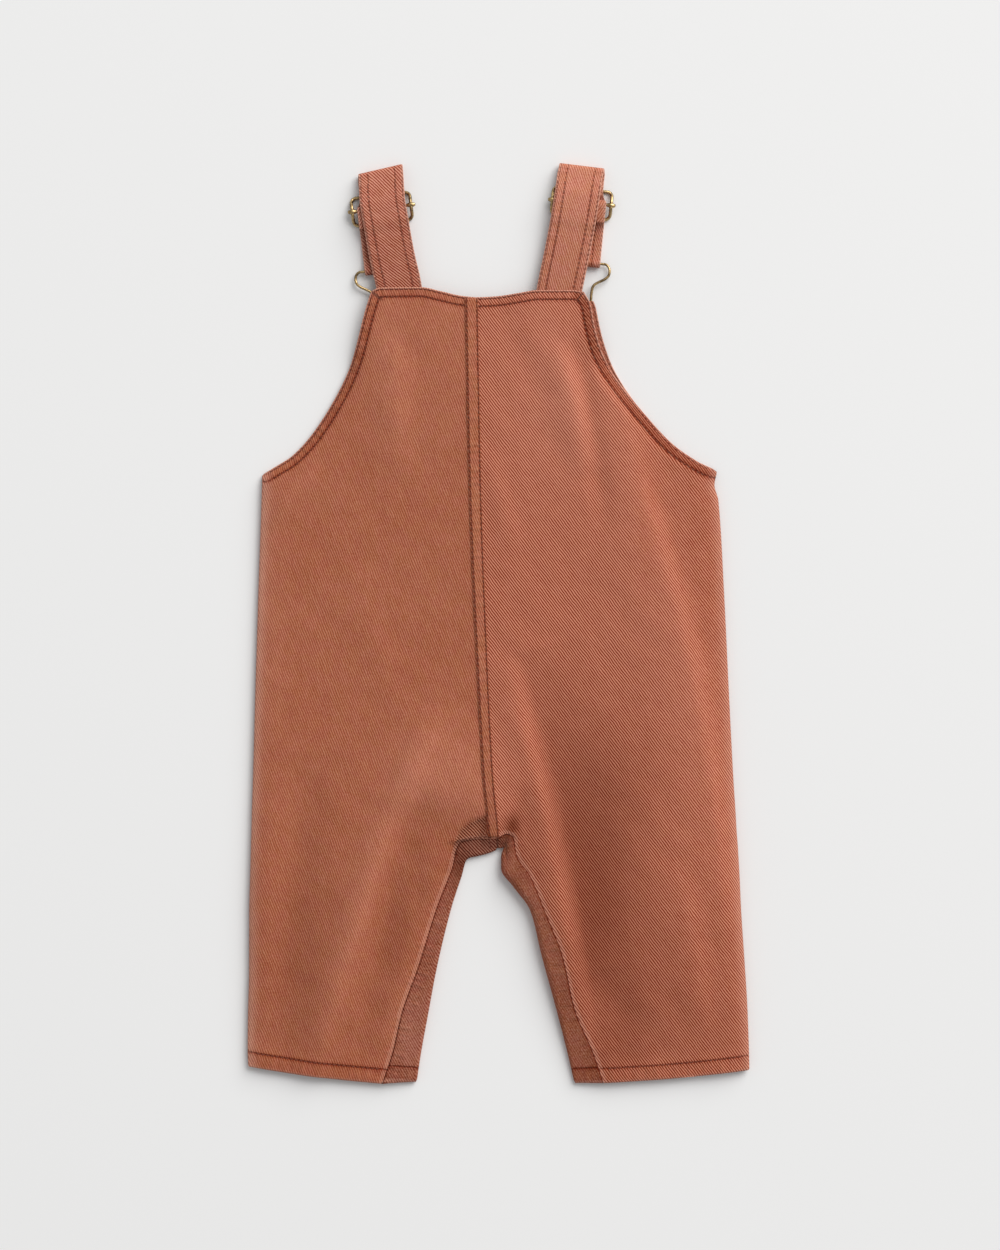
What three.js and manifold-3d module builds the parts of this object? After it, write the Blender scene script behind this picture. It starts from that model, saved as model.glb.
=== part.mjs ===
// Baby overalls in twill, laid flat on a table with the back upwards.
// Millimetres, +Z up, the table is z = 0. The straps point to +Y and the wearer's left is -X.
// Two back halves lie on two front halves. Each front half turns up round the inner leg and
// meets the back at the inseam, which lies on the upper side. The straps fold over at the
// shoulder, come back underneath through a brass slide, and hold a wire hook that has caught
// a button on the outer side of the bib.
import * as THREE from 'three';
import { mergeVertices } from 'three/addons/utils/BufferGeometryUtils.js';
import Module from 'manifold-3d';

// ---------------------------------------------------------------- driving sizes
const WALL = 1.1; // one layer of twill
const GAP = 0.3; // between two pieces that meet or lie on each other
const CENTRE_GAP = 0.5; // between the left and right halves, under the lap of the centre seam
const INSEAM_GAP = 0.45; // between the back's edge and the front's, in the plane of the table
const CROTCH_ROOM = 0.8; // and this much more at the cross seam, where the walls lean apart
const CROTCH_ROOM_FADE = { from: 16, over: 14 }; // down from the crotch
const LEG_GAP = 0.2; // added to the gap between the fronts from the crotch down
const TABLE_LAYER = WALL / 2; // middle of a layer that lies on the table
const FELL_THICK = 1.0; // folded lap of the centre-back seam
const FELL_LEFT = 6.6; // the lap reaches this far to the left of the join
const FELL_RIGHT = 1.8;
const STRAP_WIDTH = 27.2;
const STRAP_THICK = 1.4; // strap of doubled twill
const SLIDE_WIRE = 2.0; // diameter
const HOOK_WIRE = 1.6; // diameter
const SHOULDER = 14; // width of the zone where the back turns down to the side
const INNER_ZONE = 10; // width of the zone where the back comes down to the inseam
const SIDE_TURN = 2.6; // radius with which the front turns up at the side seam
const SIDE_JOIN = TABLE_LAYER + SIDE_TURN + GAP; // height of the back's edge at the side seam
const UNDERARM = { left: 89.7, right: 92.1 }; // level of each underarm corner
const BIB_TOP = 194.4;
const HEM_BOW = 0.9; // the leg hems hang a little lower in the middle
const HEM_BOW_FADE = 30; // up from the hem
const EDGE_FADE = 24; // the neck edge's and the bib's own shapes fade out over this distance
const JOIN_FADE = 8; // the free armhole edges become side seams over this distance

// ------------------------------------------------------------------ outline tables
// One row for each level down a half of the garment, from the neck corner to the leg hem.
// side: outer edge. seam: centre-back seam and then inseam, on the upper side.
// fold: centre-front seam and then the inner leg edge, where the front turns up.
// roll: radius of that turn. flange: 1 is an even rise to the inseam, more stays low for longer.
// drop: how far the back comes down to the inseam. bib: how far the front's armhole edge lies
// inside the back's (outside where it is negative).
const LEFT_HALF = [
  { side: [-76.2, 200.1], seam: [-13.5, 196.8], fold: [-13.5, 196.8], roll: 0, flange: 1, drop: 0, bib: 3.5 },
  { side: [-79.5, 189.9], seam: [-13.3, 188], fold: [-13.3, 188], roll: 0, flange: 1, drop: 0, bib: 3.5 },
  { side: [-87.9, 158.7], seam: [-12.8, 158], fold: [-12.8, 158], roll: 0, flange: 1, drop: 0, bib: 2 },
  { side: [-93.9, 144.3], seam: [-12.5, 143], fold: [-12.5, 143], roll: 0, flange: 1, drop: 0, bib: 1.6 },
  { side: [-111.3, 115.5], seam: [-11.9, 110], fold: [-11.9, 110], roll: 0, flange: 1, drop: 0, bib: 1 },
  { side: [-124.5, 101.1], seam: [-11.5, 92], fold: [-11.5, 92], roll: 0, flange: 1, drop: 0, bib: 0.6 },
  { side: [-135.9, 93.9], seam: [-11.3, 82], fold: [-11.3, 82], roll: 0, flange: 1, drop: 0, bib: 0.3 },
  { side: [-141.6, 89.7], seam: [-11.1, 75], fold: [-11.1, 75], roll: 0, flange: 1, drop: 0, bib: 0 },
  { side: [-142.7, 64], seam: [-10.4, 52], fold: [-10.4, 52], roll: 0, flange: 1, drop: 0, bib: 0 },
  { side: [-145.5, -21], seam: [-7.3, -26], fold: [-7.3, -26], roll: 0, flange: 1, drop: 0, bib: 0 },
  { side: [-147.5, -93], seam: [-3.9, -94], fold: [-3.9, -94], roll: 0, flange: 1, drop: 0, bib: 0 },
  { side: [-148.2, -114], seam: [-1.6, -117], fold: [-1.6, -118], roll: 0.6, flange: 1, drop: 0, bib: 0 },
  { side: [-148.4, -122], seam: [-0.6, -127.8], fold: [-0.6, -134.2], roll: 1.5, flange: 1, drop: 0, bib: 0 },
  { side: [-148.6, -129], seam: [-12, -128.2], fold: [-10.5, -138.6], roll: 1.5, flange: 1, drop: 1.2, bib: 0 },
  { side: [-148.8, -137], seam: [-22.8, -130.5], fold: [-18.3, -140.6], roll: 1.3, flange: 2, drop: 2.8, bib: 0 },
  { side: [-149.2, -151], seam: [-28.4, -147], fold: [-22, -151.5], roll: 1.3, flange: 3, drop: 3.4, bib: 0 },
  { side: [-149.7, -170], seam: [-36.6, -168], fold: [-28, -170], roll: 1.5, flange: 2.4, drop: 3, bib: 0 },
  { side: [-149.8, -207], seam: [-48.9, -207], fold: [-37, -207.3], roll: 2.2, flange: 1, drop: 1.6, bib: 0 },
  { side: [-150.4, -232], seam: [-57.8, -232], fold: [-41.8, -233], roll: 2.2, flange: 1, drop: 1.2, bib: 0 },
  { side: [-150.7, -254], seam: [-64, -258], fold: [-46.2, -257], roll: 1.7, flange: 1, drop: 0.7, bib: 0 },
  { side: [-150.3, -265.2], seam: [-69.9, -275.6], fold: [-48.9, -274.8], roll: 1.2, flange: 1, drop: 0.4, bib: 0 },
];
const RIGHT_HALF = [
  { side: [51.3, 199.7], seam: [-13.5, 196.8], fold: [-13.5, 196.8], roll: 0, flange: 1, drop: 0, bib: -2.6 },
  { side: [55.4, 192], seam: [-13.3, 189], fold: [-13.3, 189], roll: 0, flange: 1, drop: 0, bib: -2.7 },
  { side: [57.6, 180.3], seam: [-13.1, 177], fold: [-13.1, 177], roll: 0, flange: 1, drop: 0, bib: -3 },
  { side: [61.5, 165.9], seam: [-12.9, 163], fold: [-12.9, 163], roll: 0, flange: 1, drop: 0, bib: -3 },
  { side: [68.7, 151.5], seam: [-12.6, 148], fold: [-12.6, 148], roll: 0, flange: 1, drop: 0, bib: -2 },
  { side: [91.5, 122.7], seam: [-12, 117], fold: [-12, 117], roll: 0, flange: 1, drop: 0, bib: 0.3 },
  { side: [105.3, 108.3], seam: [-11.7, 99], fold: [-11.7, 99], roll: 0, flange: 1, drop: 0, bib: 0.5 },
  { side: [120.9, 97.5], seam: [-11.4, 84], fold: [-11.4, 84], roll: 0, flange: 1, drop: 0, bib: 0.4 },
  { side: [130.9, 92.1], seam: [-11.2, 76], fold: [-11.2, 76], roll: 0, flange: 1, drop: 0, bib: 0 },
  { side: [129.9, 84], seam: [-10.9, 67], fold: [-10.9, 67], roll: 0, flange: 1, drop: 0, bib: 0 },
  { side: [132.2, 75], seam: [-10.7, 59], fold: [-10.7, 59], roll: 0, flange: 1, drop: 0, bib: 0 },
  { side: [135.9, 14.7], seam: [-9, 8], fold: [-9, 8], roll: 0, flange: 1, drop: 0, bib: 0 },
  { side: [138.5, -39], seam: [-6.7, -40], fold: [-6.7, -40], roll: 0, flange: 1, drop: 0, bib: 0 },
  { side: [141.3, -93], seam: [-3.9, -94], fold: [-3.9, -94], roll: 0, flange: 1, drop: 0, bib: 0 },
  { side: [142.6, -113], seam: [-1.6, -117], fold: [-1.6, -118], roll: 0.6, flange: 1, drop: 0, bib: 0 },
  { side: [143, -120], seam: [-0.6, -127.8], fold: [-0.6, -134.2], roll: 1.5, flange: 1, drop: 0, bib: 0 },
  { side: [143.3, -125], seam: [4.4, -125], fold: [3, -134], roll: 1.8, flange: 1, drop: 0, bib: 0 },
  { side: [143.8, -131], seam: [9, -127], fold: [1.4, -139], roll: 2.7, flange: 1, drop: 0.3, bib: 0 },
  { side: [144.3, -139], seam: [11, -138], fold: [1.4, -146.5], roll: 3.6, flange: 1, drop: 0.8, bib: 0 },
  { side: [145, -151], seam: [19, -150], fold: [8.6, -157], roll: 3.8, flange: 1, drop: 0.6, bib: 0 },
  { side: [145.9, -171], seam: [27.8, -171], fold: [18.9, -171.6], roll: 3.9, flange: 1, drop: 0.6, bib: 0 },
  { side: [147.7, -198], seam: [38.4, -198], fold: [25.6, -198], roll: 3.7, flange: 1, drop: 0.6, bib: 0 },
  { side: [149.7, -230], seam: [46, -231], fold: [34.6, -231], roll: 2.9, flange: 1, drop: 0.6, bib: 0 },
  { side: [150.6, -255], seam: [57, -257], fold: [41, -256], roll: 1.9, flange: 1, drop: 0.5, bib: 0 },
  { side: [150.9, -267.3], seam: [63.3, -275.1], fold: [45.6, -275.6], roll: 1.2, flange: 1, drop: 0.3, bib: 0 },
];
const CROTCH_ROW = { left: 12, right: 15 }; // the first row where the front turns up
// Near the crotch the back's rows run level and dip only beside the seam. Level and depth:
const DIPS = {
  left: { level: [93, 114, 122, 129], depth: [0, 2.5, 5, 0] },
  right: { level: [93, 113, 120, 125, 131], depth: [0, 3.5, 7, 1, 0] },
};
const DIP_REACH = 16;
const OUTWARD_FADE = 6; // the inner leg edge turns from down the garment to sideways over this

// the back's neck edge, from the left corner over the centre seam to the right corner
const NECKLINE = [
  { x: -76.2, y: 200.1 },
  { x: -71, y: 202.2 },
  { x: -46.5, y: 202.5 },
  { x: -34.5, y: 200.2 },
  { x: -21.9, y: 197.5 },
  { x: -12.3, y: 196.7 },
  { x: -2.7, y: 197.1 },
  { x: 12.9, y: 199.2 },
  { x: 23.1, y: 200.7 },
  { x: 44, y: 200.8 },
  { x: 51.3, y: 199.7 },
];

// height of the upper layer down the garment, over the left half and over the right half
const LIE = [
  { y: 205, left: 3.2, right: 3.2 },
  { y: 150, left: 4.4, right: 4.6 },
  { y: 90, left: 5.0, right: 5.6 },
  { y: 0, left: 5.4, right: 6.2 },
  { y: -80, left: 6.0, right: 7.0 },
  { y: -128, left: 6.8, right: 7.8 },
  { y: -170, left: 7.4, right: 9.2 },
  { y: -220, left: 7.0, right: 8.2 },
  { y: -262, left: 5.0, right: 5.8 },
  { y: -280, left: 4.4, right: 4.8 },
];

// the largest folds of the upper layer: a soft ridge (or a trough, where the lift is negative)
// from one point to another. bow pushes its middle sideways.
const FOLDS = [
  { name: 'outer right ridge', from: [78, 118], to: [134, -150], bow: 9, width: 9, lift: 1.5 },
  { name: 'crotch ridge right', from: [8, -40], to: [54, -226], bow: 3, width: 9, lift: 3 },
  { name: 'hollow beside it', from: [36, -52], to: [66, -212], bow: 2, width: 13, lift: -2.6 },
  { name: 'hollow over right hem', from: [66, -205], to: [82, -258], bow: 0, width: 14, lift: -1.6 },
  { name: 'left leg ridge', from: [-70, -88], to: [-106, -262], bow: -2, width: 12, lift: 1.8 },
  { name: 'left outer hollow', from: [-126, -118], to: [-110, -252], bow: 0, width: 13, lift: -1.8 },
  { name: 'bulge over left crotch', from: [-40, -58], to: [-34, -136], bow: 4, width: 15, lift: 2.4 },
  { name: 'dip at the crotch', from: [-6, -96], to: [-4, -158], bow: 0, width: 15, lift: -3 },
];

// ------------------------------------------------------------------ straps and hardware
// slide and hook: where the strap's lower run crosses the slide's bar and the hook's bar. The
// line between them sets how both are turned. fold: the turn-over at the shoulder.
// slideShift and hookShift: how far the slide and the hook sit beside the strap's middle.
// back: middle line of the upper run, from the fold to the end tucked under the neck edge.
const STRAPS = [
  {
    side: 'left',
    slide: [-71.2, 250.1],
    hook: [-66.8, 214.1],
    fold: { x: -71.2, y: 272.8, turn: 12 },
    slideShift: 1.1,
    hookShift: -1.3,
    back: [
      { y: 272.8, x: -70.6 }, { y: 257, x: -69.8 }, { y: 240.5, x: -67.2 },
      { y: 219, x: -63.3 }, { y: 206, x: -60.2 }, { y: 193.6, x: -58.2 },
    ],
  },
  {
    side: 'right',
    slide: [51.2, 253.6],
    hook: [47.7, 218.4],
    fold: { x: 50.6, y: 274.8, turn: -6 },
    slideShift: -1.1,
    hookShift: 1.3,
    back: [
      { y: 274.8, x: 49.8 }, { y: 258, x: 47.3 }, { y: 240.5, x: 44.5 },
      { y: 215, x: 39.5 }, { y: 205, x: 37.4 }, { y: 193.6, x: 35.4 },
    ],
  },
];
const SLIDE = { width: 35.4, height: 16.6, corner: 2.9, rise: 5.5 }; // at the wire's middle
const BAR = { reach: 20.4, radius: 1, knob: 2.1, height: 4.4, hole: 1.3 };
const BUTTON = { drop: 40, head: 17, headThick: 1.9, shank: 6.4, top: 4.0 }; // drop: from the hook's bar
const HOOK_NECK_HEIGHT = 3.1; // middle of the wire round the button's shank
const HOOK_BAR_HEIGHT = STRAP_THICK + GAP + HOOK_WIRE / 2;
const BIB_LIFT = 4.4; // the bib rides this high over the hook and the button
const BIB_LIFT_REACH = 18;
const BIB_LIFT_FADE = 16;
const BACK_LIFT = 3.2; // and the back over the bib there
const STRAP_END = 6.45; // height of the strap's end, under the neck edge
const REST = GAP + 0.1; // between two pieces that lie on each other and bend together
const STRAP_END_LIE = STRAP_END + STRAP_THICK / 2 + REST + WALL / 2; // of the neck edge over it
const STRAP_END_ROOM = 3; // the neck edge stays up this far beside the strap
const STRAP_END_FADE = 9;
const ARMHOLE_REST = 0.45; // between the back's armhole edge and the front under it

// half of the hook's bent wire, from the middle of its bar to the middle of its foot:
// out is the half width, down the distance from the bar
const HOOK = [
  { out: 0, down: 0 },
  { out: 8, down: 0 },
  { out: 13.4, down: 0 },
  { out: 15.9, down: 0.1 },
  { out: 17.8, down: 1.9 },
  { out: 18.4, down: 4.7 },
  { out: 17.8, down: 7 },
  { out: 16, down: 8.9 },
  { out: 12.3, down: 11.2 },
  { out: 10, down: 12.9 },
  { out: 9.1, down: 14.8 },
  { out: 8.8, down: 18.3 },
  { out: 8.9, down: 26 },
  { out: 8, down: 31 },
  { out: 5.6, down: 35.6 },
  { out: 4.4, down: 40.6 },
  { out: 2.6, down: 43.6 },
  { out: 0, down: 44.6 },
];

// --------------------------------------------------------------------- mathematics
const clamp = (value, low, high) => Math.min(Math.max(value, low), high);
const ease = (t) => {
  const k = clamp(t, 0, 1);
  return k * k * (3 - 2 * k);
};
const mix = (a, b, t) => a + (b - a) * t;

// a smooth curve through the values of a table, which never overshoots them
function curveThrough(places, values) {
  const last = places.length - 1;
  const slope = [];
  for (let k = 0; k < last; k++) {
    slope.push((values[k + 1] - values[k]) / (places[k + 1] - places[k]));
  }
  const lean = values.map((_, k) => {
    if (k === 0) return slope[0];
    if (k === last) return slope[last - 1];
    const before = slope[k - 1];
    const after = slope[k];
    return before * after <= 0 ? 0 : (2 * before * after) / (before + after);
  });
  return (place) => {
    const at = clamp(place, places[0], places[last]);
    let k = 0;
    while (k < last - 1 && at > places[k + 1]) k++;
    const step = places[k + 1] - places[k];
    const t = (at - places[k]) / step;
    const t2 = t * t;
    const t3 = t2 * t;
    return (2 * t3 - 3 * t2 + 1) * values[k] + (t3 - 2 * t2 + t) * step * lean[k]
      + (3 * t2 - 2 * t3) * values[k + 1] + (t3 - t2) * step * lean[k + 1];
  };
}

// the functions of level that one half's table gives; a level is minus the height of the side edge
function halfCurves(table) {
  const levels = table.map((row) => -row.side[1]);
  const column = (pick) => curveThrough(levels, table.map(pick));
  return {
    levels,
    side: [column((row) => row.side[0]), column((row) => row.side[1])],
    seam: [column((row) => row.seam[0]), column((row) => row.seam[1])],
    fold: [column((row) => row.fold[0]), column((row) => row.fold[1])],
    roll: column((row) => row.roll),
    flange: column((row) => row.flange),
    drop: column((row) => row.drop),
    bib: column((row) => row.bib),
  };
}

const neckY = curveThrough(NECKLINE.map((p) => p.x), NECKLINE.map((p) => p.y));
const lieLevels = LIE.map((row) => -row.y);
const lieLeft = curveThrough(lieLevels, LIE.map((row) => row.left));
const lieRight = curveThrough(lieLevels, LIE.map((row) => row.right));
const centreX = curveThrough(
  LEFT_HALF.slice(0, CROTCH_ROW.left + 1).map((row) => -row.seam[1]),
  LEFT_HALF.slice(0, CROTCH_ROW.left + 1).map((row) => row.seam[0]),
);

// how near a point is to a line between two points: 1 on it, 0 beyond its reach
function nearLine(x, y, from, to, reach, fade) {
  const dx = to[0] - from[0];
  const dy = to[1] - from[1];
  const t = clamp(((x - from[0]) * dx + (y - from[1]) * dy) / (dx * dx + dy * dy), 0, 1);
  const away = Math.hypot(x - from[0] - t * dx, y - from[1] - t * dy);
  return 1 - ease((away - reach) / fade);
}

// the lower run of a strap: its direction, the turn of its slide and hook, and their distance
function runOf(strap) {
  const dx = strap.hook[0] - strap.slide[0];
  const dy = strap.hook[1] - strap.slide[1];
  const length = Math.hypot(dx, dy);
  const down = [dx / length, dy / length];
  return { down, across: [-down[1], down[0]], length };
}
function beside(strap, at, shift, below = 0) {
  const { down, across } = runOf(strap);
  return [at[0] + across[0] * shift + down[0] * below, at[1] + across[1] * shift + down[1] * below];
}
const slideCentre = (strap) => beside(strap, strap.slide, strap.slideShift);
const hookCentre = (strap) => beside(strap, strap.hook, strap.hookShift);
const buttonAt = (strap) => beside(strap, strap.hook, strap.hookShift, BUTTON.drop);

// 1 over a hook and its button, or over a strap's tucked end, and 0 away from them
function overHook(x, y) {
  return Math.max(...STRAPS.map((strap) => nearLine(
    x, y, hookCentre(strap), buttonAt(strap), BIB_LIFT_REACH, BIB_LIFT_FADE)));
}
function overStrapEnd(x, y) {
  return Math.max(...STRAPS.map(({ back }) => {
    const [inner, end] = back.slice(-2);
    const reach = STRAP_WIDTH / 2 + STRAP_END_ROOM;
    return nearLine(x, y, [inner.x, inner.y], [end.x, end.y], reach, STRAP_END_FADE);
  }));
}

function foldRelief(x, y) {
  let relief = 0;
  for (const fold of FOLDS) {
    const dx = fold.to[0] - fold.from[0];
    const dy = fold.to[1] - fold.from[1];
    const length = Math.hypot(dx, dy);
    const t = ((x - fold.from[0]) * dx + (y - fold.from[1]) * dy) / (length * length);
    if (t <= 0 || t >= 1) continue;
    const taper = Math.sin(Math.PI * t);
    const across = ((x - fold.from[0]) * dy - (y - fold.from[1]) * dx) / length + fold.bow * taper;
    relief += fold.lift * taper * Math.exp(-((across / fold.width) ** 2));
  }
  return relief;
}

// height of the upper layer away from its edges
const CENTRE_BLEND = 25; // the two halves' heights blend this far to each side of the centre seam
function lieHeight(x, y) {
  const rightness = ease((x - centreX(-y)) / (2 * CENTRE_BLEND) + 0.5);
  const lie = mix(lieLeft(-y), lieRight(-y), rightness) + BACK_LIFT * overHook(x, y) + foldRelief(x, y);
  return mix(lie, STRAP_END_LIE, overStrapEnd(x, y));
}
const bibHeight = (x, y) => TABLE_LAYER + BIB_LIFT * overHook(x, y);

// ------------------------------------------------------------------- cloth surfaces
// Each half of the garment is a function of level and across that gives the middle of its cloth.
// On the back, across runs 0..1 over the shoulder, 1..2 over the middle, 2..3 beside the seam.
function makeHalf(half, table) {
  const toSide = half === 'right' ? 1 : -1;
  const curves = halfCurves(table);
  const { levels } = curves;
  const top = levels[0];
  const hem = levels[levels.length - 1];
  const crotch = levels[CROTCH_ROW[half]];
  const dip = curveThrough(DIPS[half].level, DIPS[half].depth);
  const joined = (level) => ease((level + UNDERARM[half] + 2) / JOIN_FADE); // 1 below the underarm
  const hemBow = (level, t) => HEM_BOW * Math.sin(Math.PI * t) * ease((level - hem) / HEM_BOW_FADE + 1);

  function back(level, across) {
    const side = [curves.side[0](level), curves.side[1](level)];
    const seam = [curves.seam[0](level) + toSide * CENTRE_GAP / 2, curves.seam[1](level)];
    const length = Math.hypot(seam[0] - side[0], seam[1] - side[1]);
    const inset = joined(level) * WALL / 2;
    let away = length - INNER_ZONE * (3 - across) ** 2;
    if (across <= 1) away = inset + SHOULDER * across * across;
    else if (across <= 2) away = mix(inset + SHOULDER, length - INNER_ZONE, across - 1);
    const t = away / length;
    const x = mix(side[0], seam[0], t);
    const topX = mix(table[0].side[0], table[0].seam[0], t);
    const topY = mix(table[0].side[1], table[0].seam[1], t);
    const beside = Math.max(0, 1 - (length - away) / DIP_REACH) ** 2;
    const y = mix(side[1], seam[1] + dip(level), t) - dip(level) * beside
      + (neckY(topX) - topY) * (1 - ease((level - top) / EDGE_FADE)) - hemBow(level, t);
    const free = mix(bibHeight(x, y) + WALL + ARMHOLE_REST, STRAP_END_LIE, overStrapEnd(x, y));
    const edge = mix(free, SIDE_JOIN, joined(level));
    const q = clamp((away - inset) / SHOULDER, 0, 1);
    const rise = mix(Math.sin(q * Math.PI / 2), Math.sqrt(1 - (1 - q) ** 2), joined(level));
    const near = clamp((length - away) / INNER_ZONE, 0, 1);
    const fall = curves.drop(level) * (1 - Math.sin(near * Math.PI / 2));
    return new THREE.Vector3(x, y, edge + (lieHeight(x, y) - edge) * rise - fall);
  }

  // the way that the inner leg edge faces, level with the table: down the garment at the crotch
  function outward(level) {
    const step = 0.5;
    const dx = curves.fold[0](level + step) - curves.fold[0](level - step);
    const dy = curves.fold[1](level + step) - curves.fold[1](level - step);
    const length = Math.hypot(dx, dy) || 1;
    const turned = ease((level - crotch) / OUTWARD_FADE);
    const x = mix(0, toSide * dy / length, turned);
    const y = mix(-1, -toSide * dx / length, turned);
    const size = Math.hypot(x, y);
    return [x / size, y / size];
  }

  // On the front, across runs 0..1 up the side seam, 1..2 along the table, 2..3 round the inner
  // leg edge and 3..4 over the top to the inseam. The last two are there from the crotch down.
  function front(level, across) {
    const inset = joined(level) * WALL / 2;
    const side = [curves.side[0](level) - toSide * (curves.bib(level) + inset), curves.side[1](level)];
    const roll = curves.roll(level);
    const out = outward(level);
    const setBack = roll + Math.min(1, roll) * WALL / 2;
    const centreGap = CENTRE_GAP / 2 + LEG_GAP * ease((level - crotch) / JOIN_FADE + 1);
    const end = [
      curves.fold[0](level) + toSide * centreGap - out[0] * setBack,
      curves.fold[1](level) - out[1] * setBack,
    ];
    if (across <= 2) {
      const length = Math.hypot(end[0] - side[0], end[1] - side[1]);
      const away = across <= 1 ? SIDE_TURN * across ** 1.6 : mix(SIDE_TURN, length, across - 1);
      const t = away / length;
      const x = mix(side[0], end[0], t);
      const topY = mix(curves.side[1](-BIB_TOP), curves.seam[1](-BIB_TOP), t);
      const y = mix(side[1], end[1], t) + (BIB_TOP - topY) * (1 - ease((level + BIB_TOP) / EDGE_FADE))
        - hemBow(level, t);
      const q = clamp(away / SIDE_TURN, 0, 1);
      const turnUp = joined(level) * SIDE_TURN * (1 - Math.sqrt(1 - (1 - q) ** 2));
      return new THREE.Vector3(x, y, bibHeight(x, y) + turnUp);
    }
    if (across <= 3) {
      const angle = (across - 2) * Math.PI;
      const reach = roll * Math.sin(angle);
      return new THREE.Vector3(
        end[0] + out[0] * reach, end[1] + out[1] * reach, TABLE_LAYER + roll * (1 - Math.cos(angle)));
    }
    const seam = back(level, 3);
    const length = Math.hypot(seam.x - end[0], seam.y - end[1]);
    const below = (level - crotch - CROTCH_ROOM_FADE.from) / CROTCH_ROOM_FADE.over;
    const open = INSEAM_GAP + CROTCH_ROOM * (1 - ease(below));
    const t = (across - 3) * (1 - open / length);
    const rise = t ** curves.flange(level);
    return new THREE.Vector3(
      mix(end[0], seam.x, t), mix(end[1], seam.y, t), mix(TABLE_LAYER + 2 * roll, seam.z, rise));
  }

  return { half, levels, crotch, top, back, front };
}

// levels for the rows of a mesh: those of the table, and others between them
function meshLevels(levels, from, step) {
  const rows = [];
  const marks = [from, ...levels.filter((level) => level > from + 1)];
  for (let k = 0; k + 1 < marks.length; k++) {
    const parts = Math.ceil((marks[k + 1] - marks[k]) / step);
    for (let part = 0; part < parts; part++) rows.push(mix(marks[k], marks[k + 1], part / parts));
  }
  rows.push(marks[marks.length - 1]);
  return rows;
}
const spread = (from, to, parts) => Array.from({ length: parts }, (_, k) => mix(from, to, k / parts));

// the cloth's direction outwards at a place on its middle surface
function surfaceNormal(surface, row, column, rowEnds, columnEnds) {
  const step = 0.01;
  const along = surface(Math.min(row + step, rowEnds[1]), column)
    .sub(surface(Math.max(row - step, rowEnds[0]), column));
  const over = surface(row, Math.min(column + step / 4, columnEnds[1]))
    .sub(surface(row, Math.max(column - step / 4, columnEnds[0])));
  return over.cross(along).normalize();
}

// a closed wall of even thickness round a middle surface. offset moves it outwards, and
// present says which cells are there.
function clothSolid(surface, rows, columns, thick, { offset = 0, columnEnds, present = () => true } = {}) {
  const rowEnds = [rows[0], rows[rows.length - 1]];
  const ends = columnEnds ?? (() => [columns[0], columns[columns.length - 1]]);
  const positions = [];
  const index = new Map();
  const vertex = (i, j, face) => {
    const key = `${i},${j},${face}`;
    if (!index.has(key)) {
      const point = surface(rows[i], columns[j]);
      const normal = surfaceNormal(surface, rows[i], columns[j], rowEnds, ends(rows[i]));
      point.addScaledVector(normal, offset + face * thick / 2);
      index.set(key, positions.length / 3);
      positions.push(point.x, point.y, point.z);
    }
    return index.get(key);
  };
  const faces = [];
  const edges = new Map();
  const edge = (a, b) => edges.set(`${a}|${b}`, [a, b]);
  for (let i = 0; i + 1 < rows.length; i++) {
    for (let j = 0; j + 1 < columns.length; j++) {
      if (!present(rows[i], columns[j + 1])) continue;
      const corners = [[i, j], [i, j + 1], [i + 1, j + 1], [i + 1, j]];
      const [a, b, c, d] = corners.map(([r, k]) => vertex(r, k, 1));
      const [e, f, g, h] = corners.map(([r, k]) => vertex(r, k, -1));
      faces.push(a, b, c, a, c, d, e, g, f, e, h, g);
      corners.forEach((from, k) => edge(from.join(), corners[(k + 1) % 4].join()));
    }
  }
  for (const [from, to] of edges.values()) {
    if (edges.has(`${to}|${from}`)) continue;
    const [a, b] = [from, to].map((key) => vertex(...key.split(',').map(Number), 1));
    const [c, d] = [from, to].map((key) => vertex(...key.split(',').map(Number), -1));
    faces.push(a, c, d, a, d, b);
  }
  return closedGeometry(positions, faces);
}

// a geometry of shared corners whose faces all point out of the solid
function closedGeometry(positions, faces) {
  let volume = 0;
  const corner = (k) => new THREE.Vector3().fromArray(positions, 3 * faces[k]);
  for (let k = 0; k < faces.length; k += 3) {
    volume += corner(k).dot(corner(k + 1).cross(corner(k + 2)));
  }
  if (volume < 0) {
    for (let k = 0; k < faces.length; k += 3) {
      [faces[k + 1], faces[k + 2]] = [faces[k + 2], faces[k + 1]];
    }
  }
  const geometry = new THREE.BufferGeometry();
  geometry.setAttribute('position', new THREE.Float32BufferAttribute(positions, 3));
  geometry.setIndex(faces);
  return geometry;
}

// -------------------------------------------------------------------------- scene
const overalls = new THREE.Group();
const twill = (name) => new THREE.MeshStandardMaterial({ name, color: 0xa5624a, roughness: 0.9, metalness: 0 });
const brass = (name) => new THREE.MeshStandardMaterial({ name, color: 0xa88a55, roughness: 0.35, metalness: 1 });
function addPiece(name, geometry, material) {
  const mesh = new THREE.Mesh(geometry, material(name));
  mesh.name = name;
  overalls.add(mesh);
}

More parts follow.
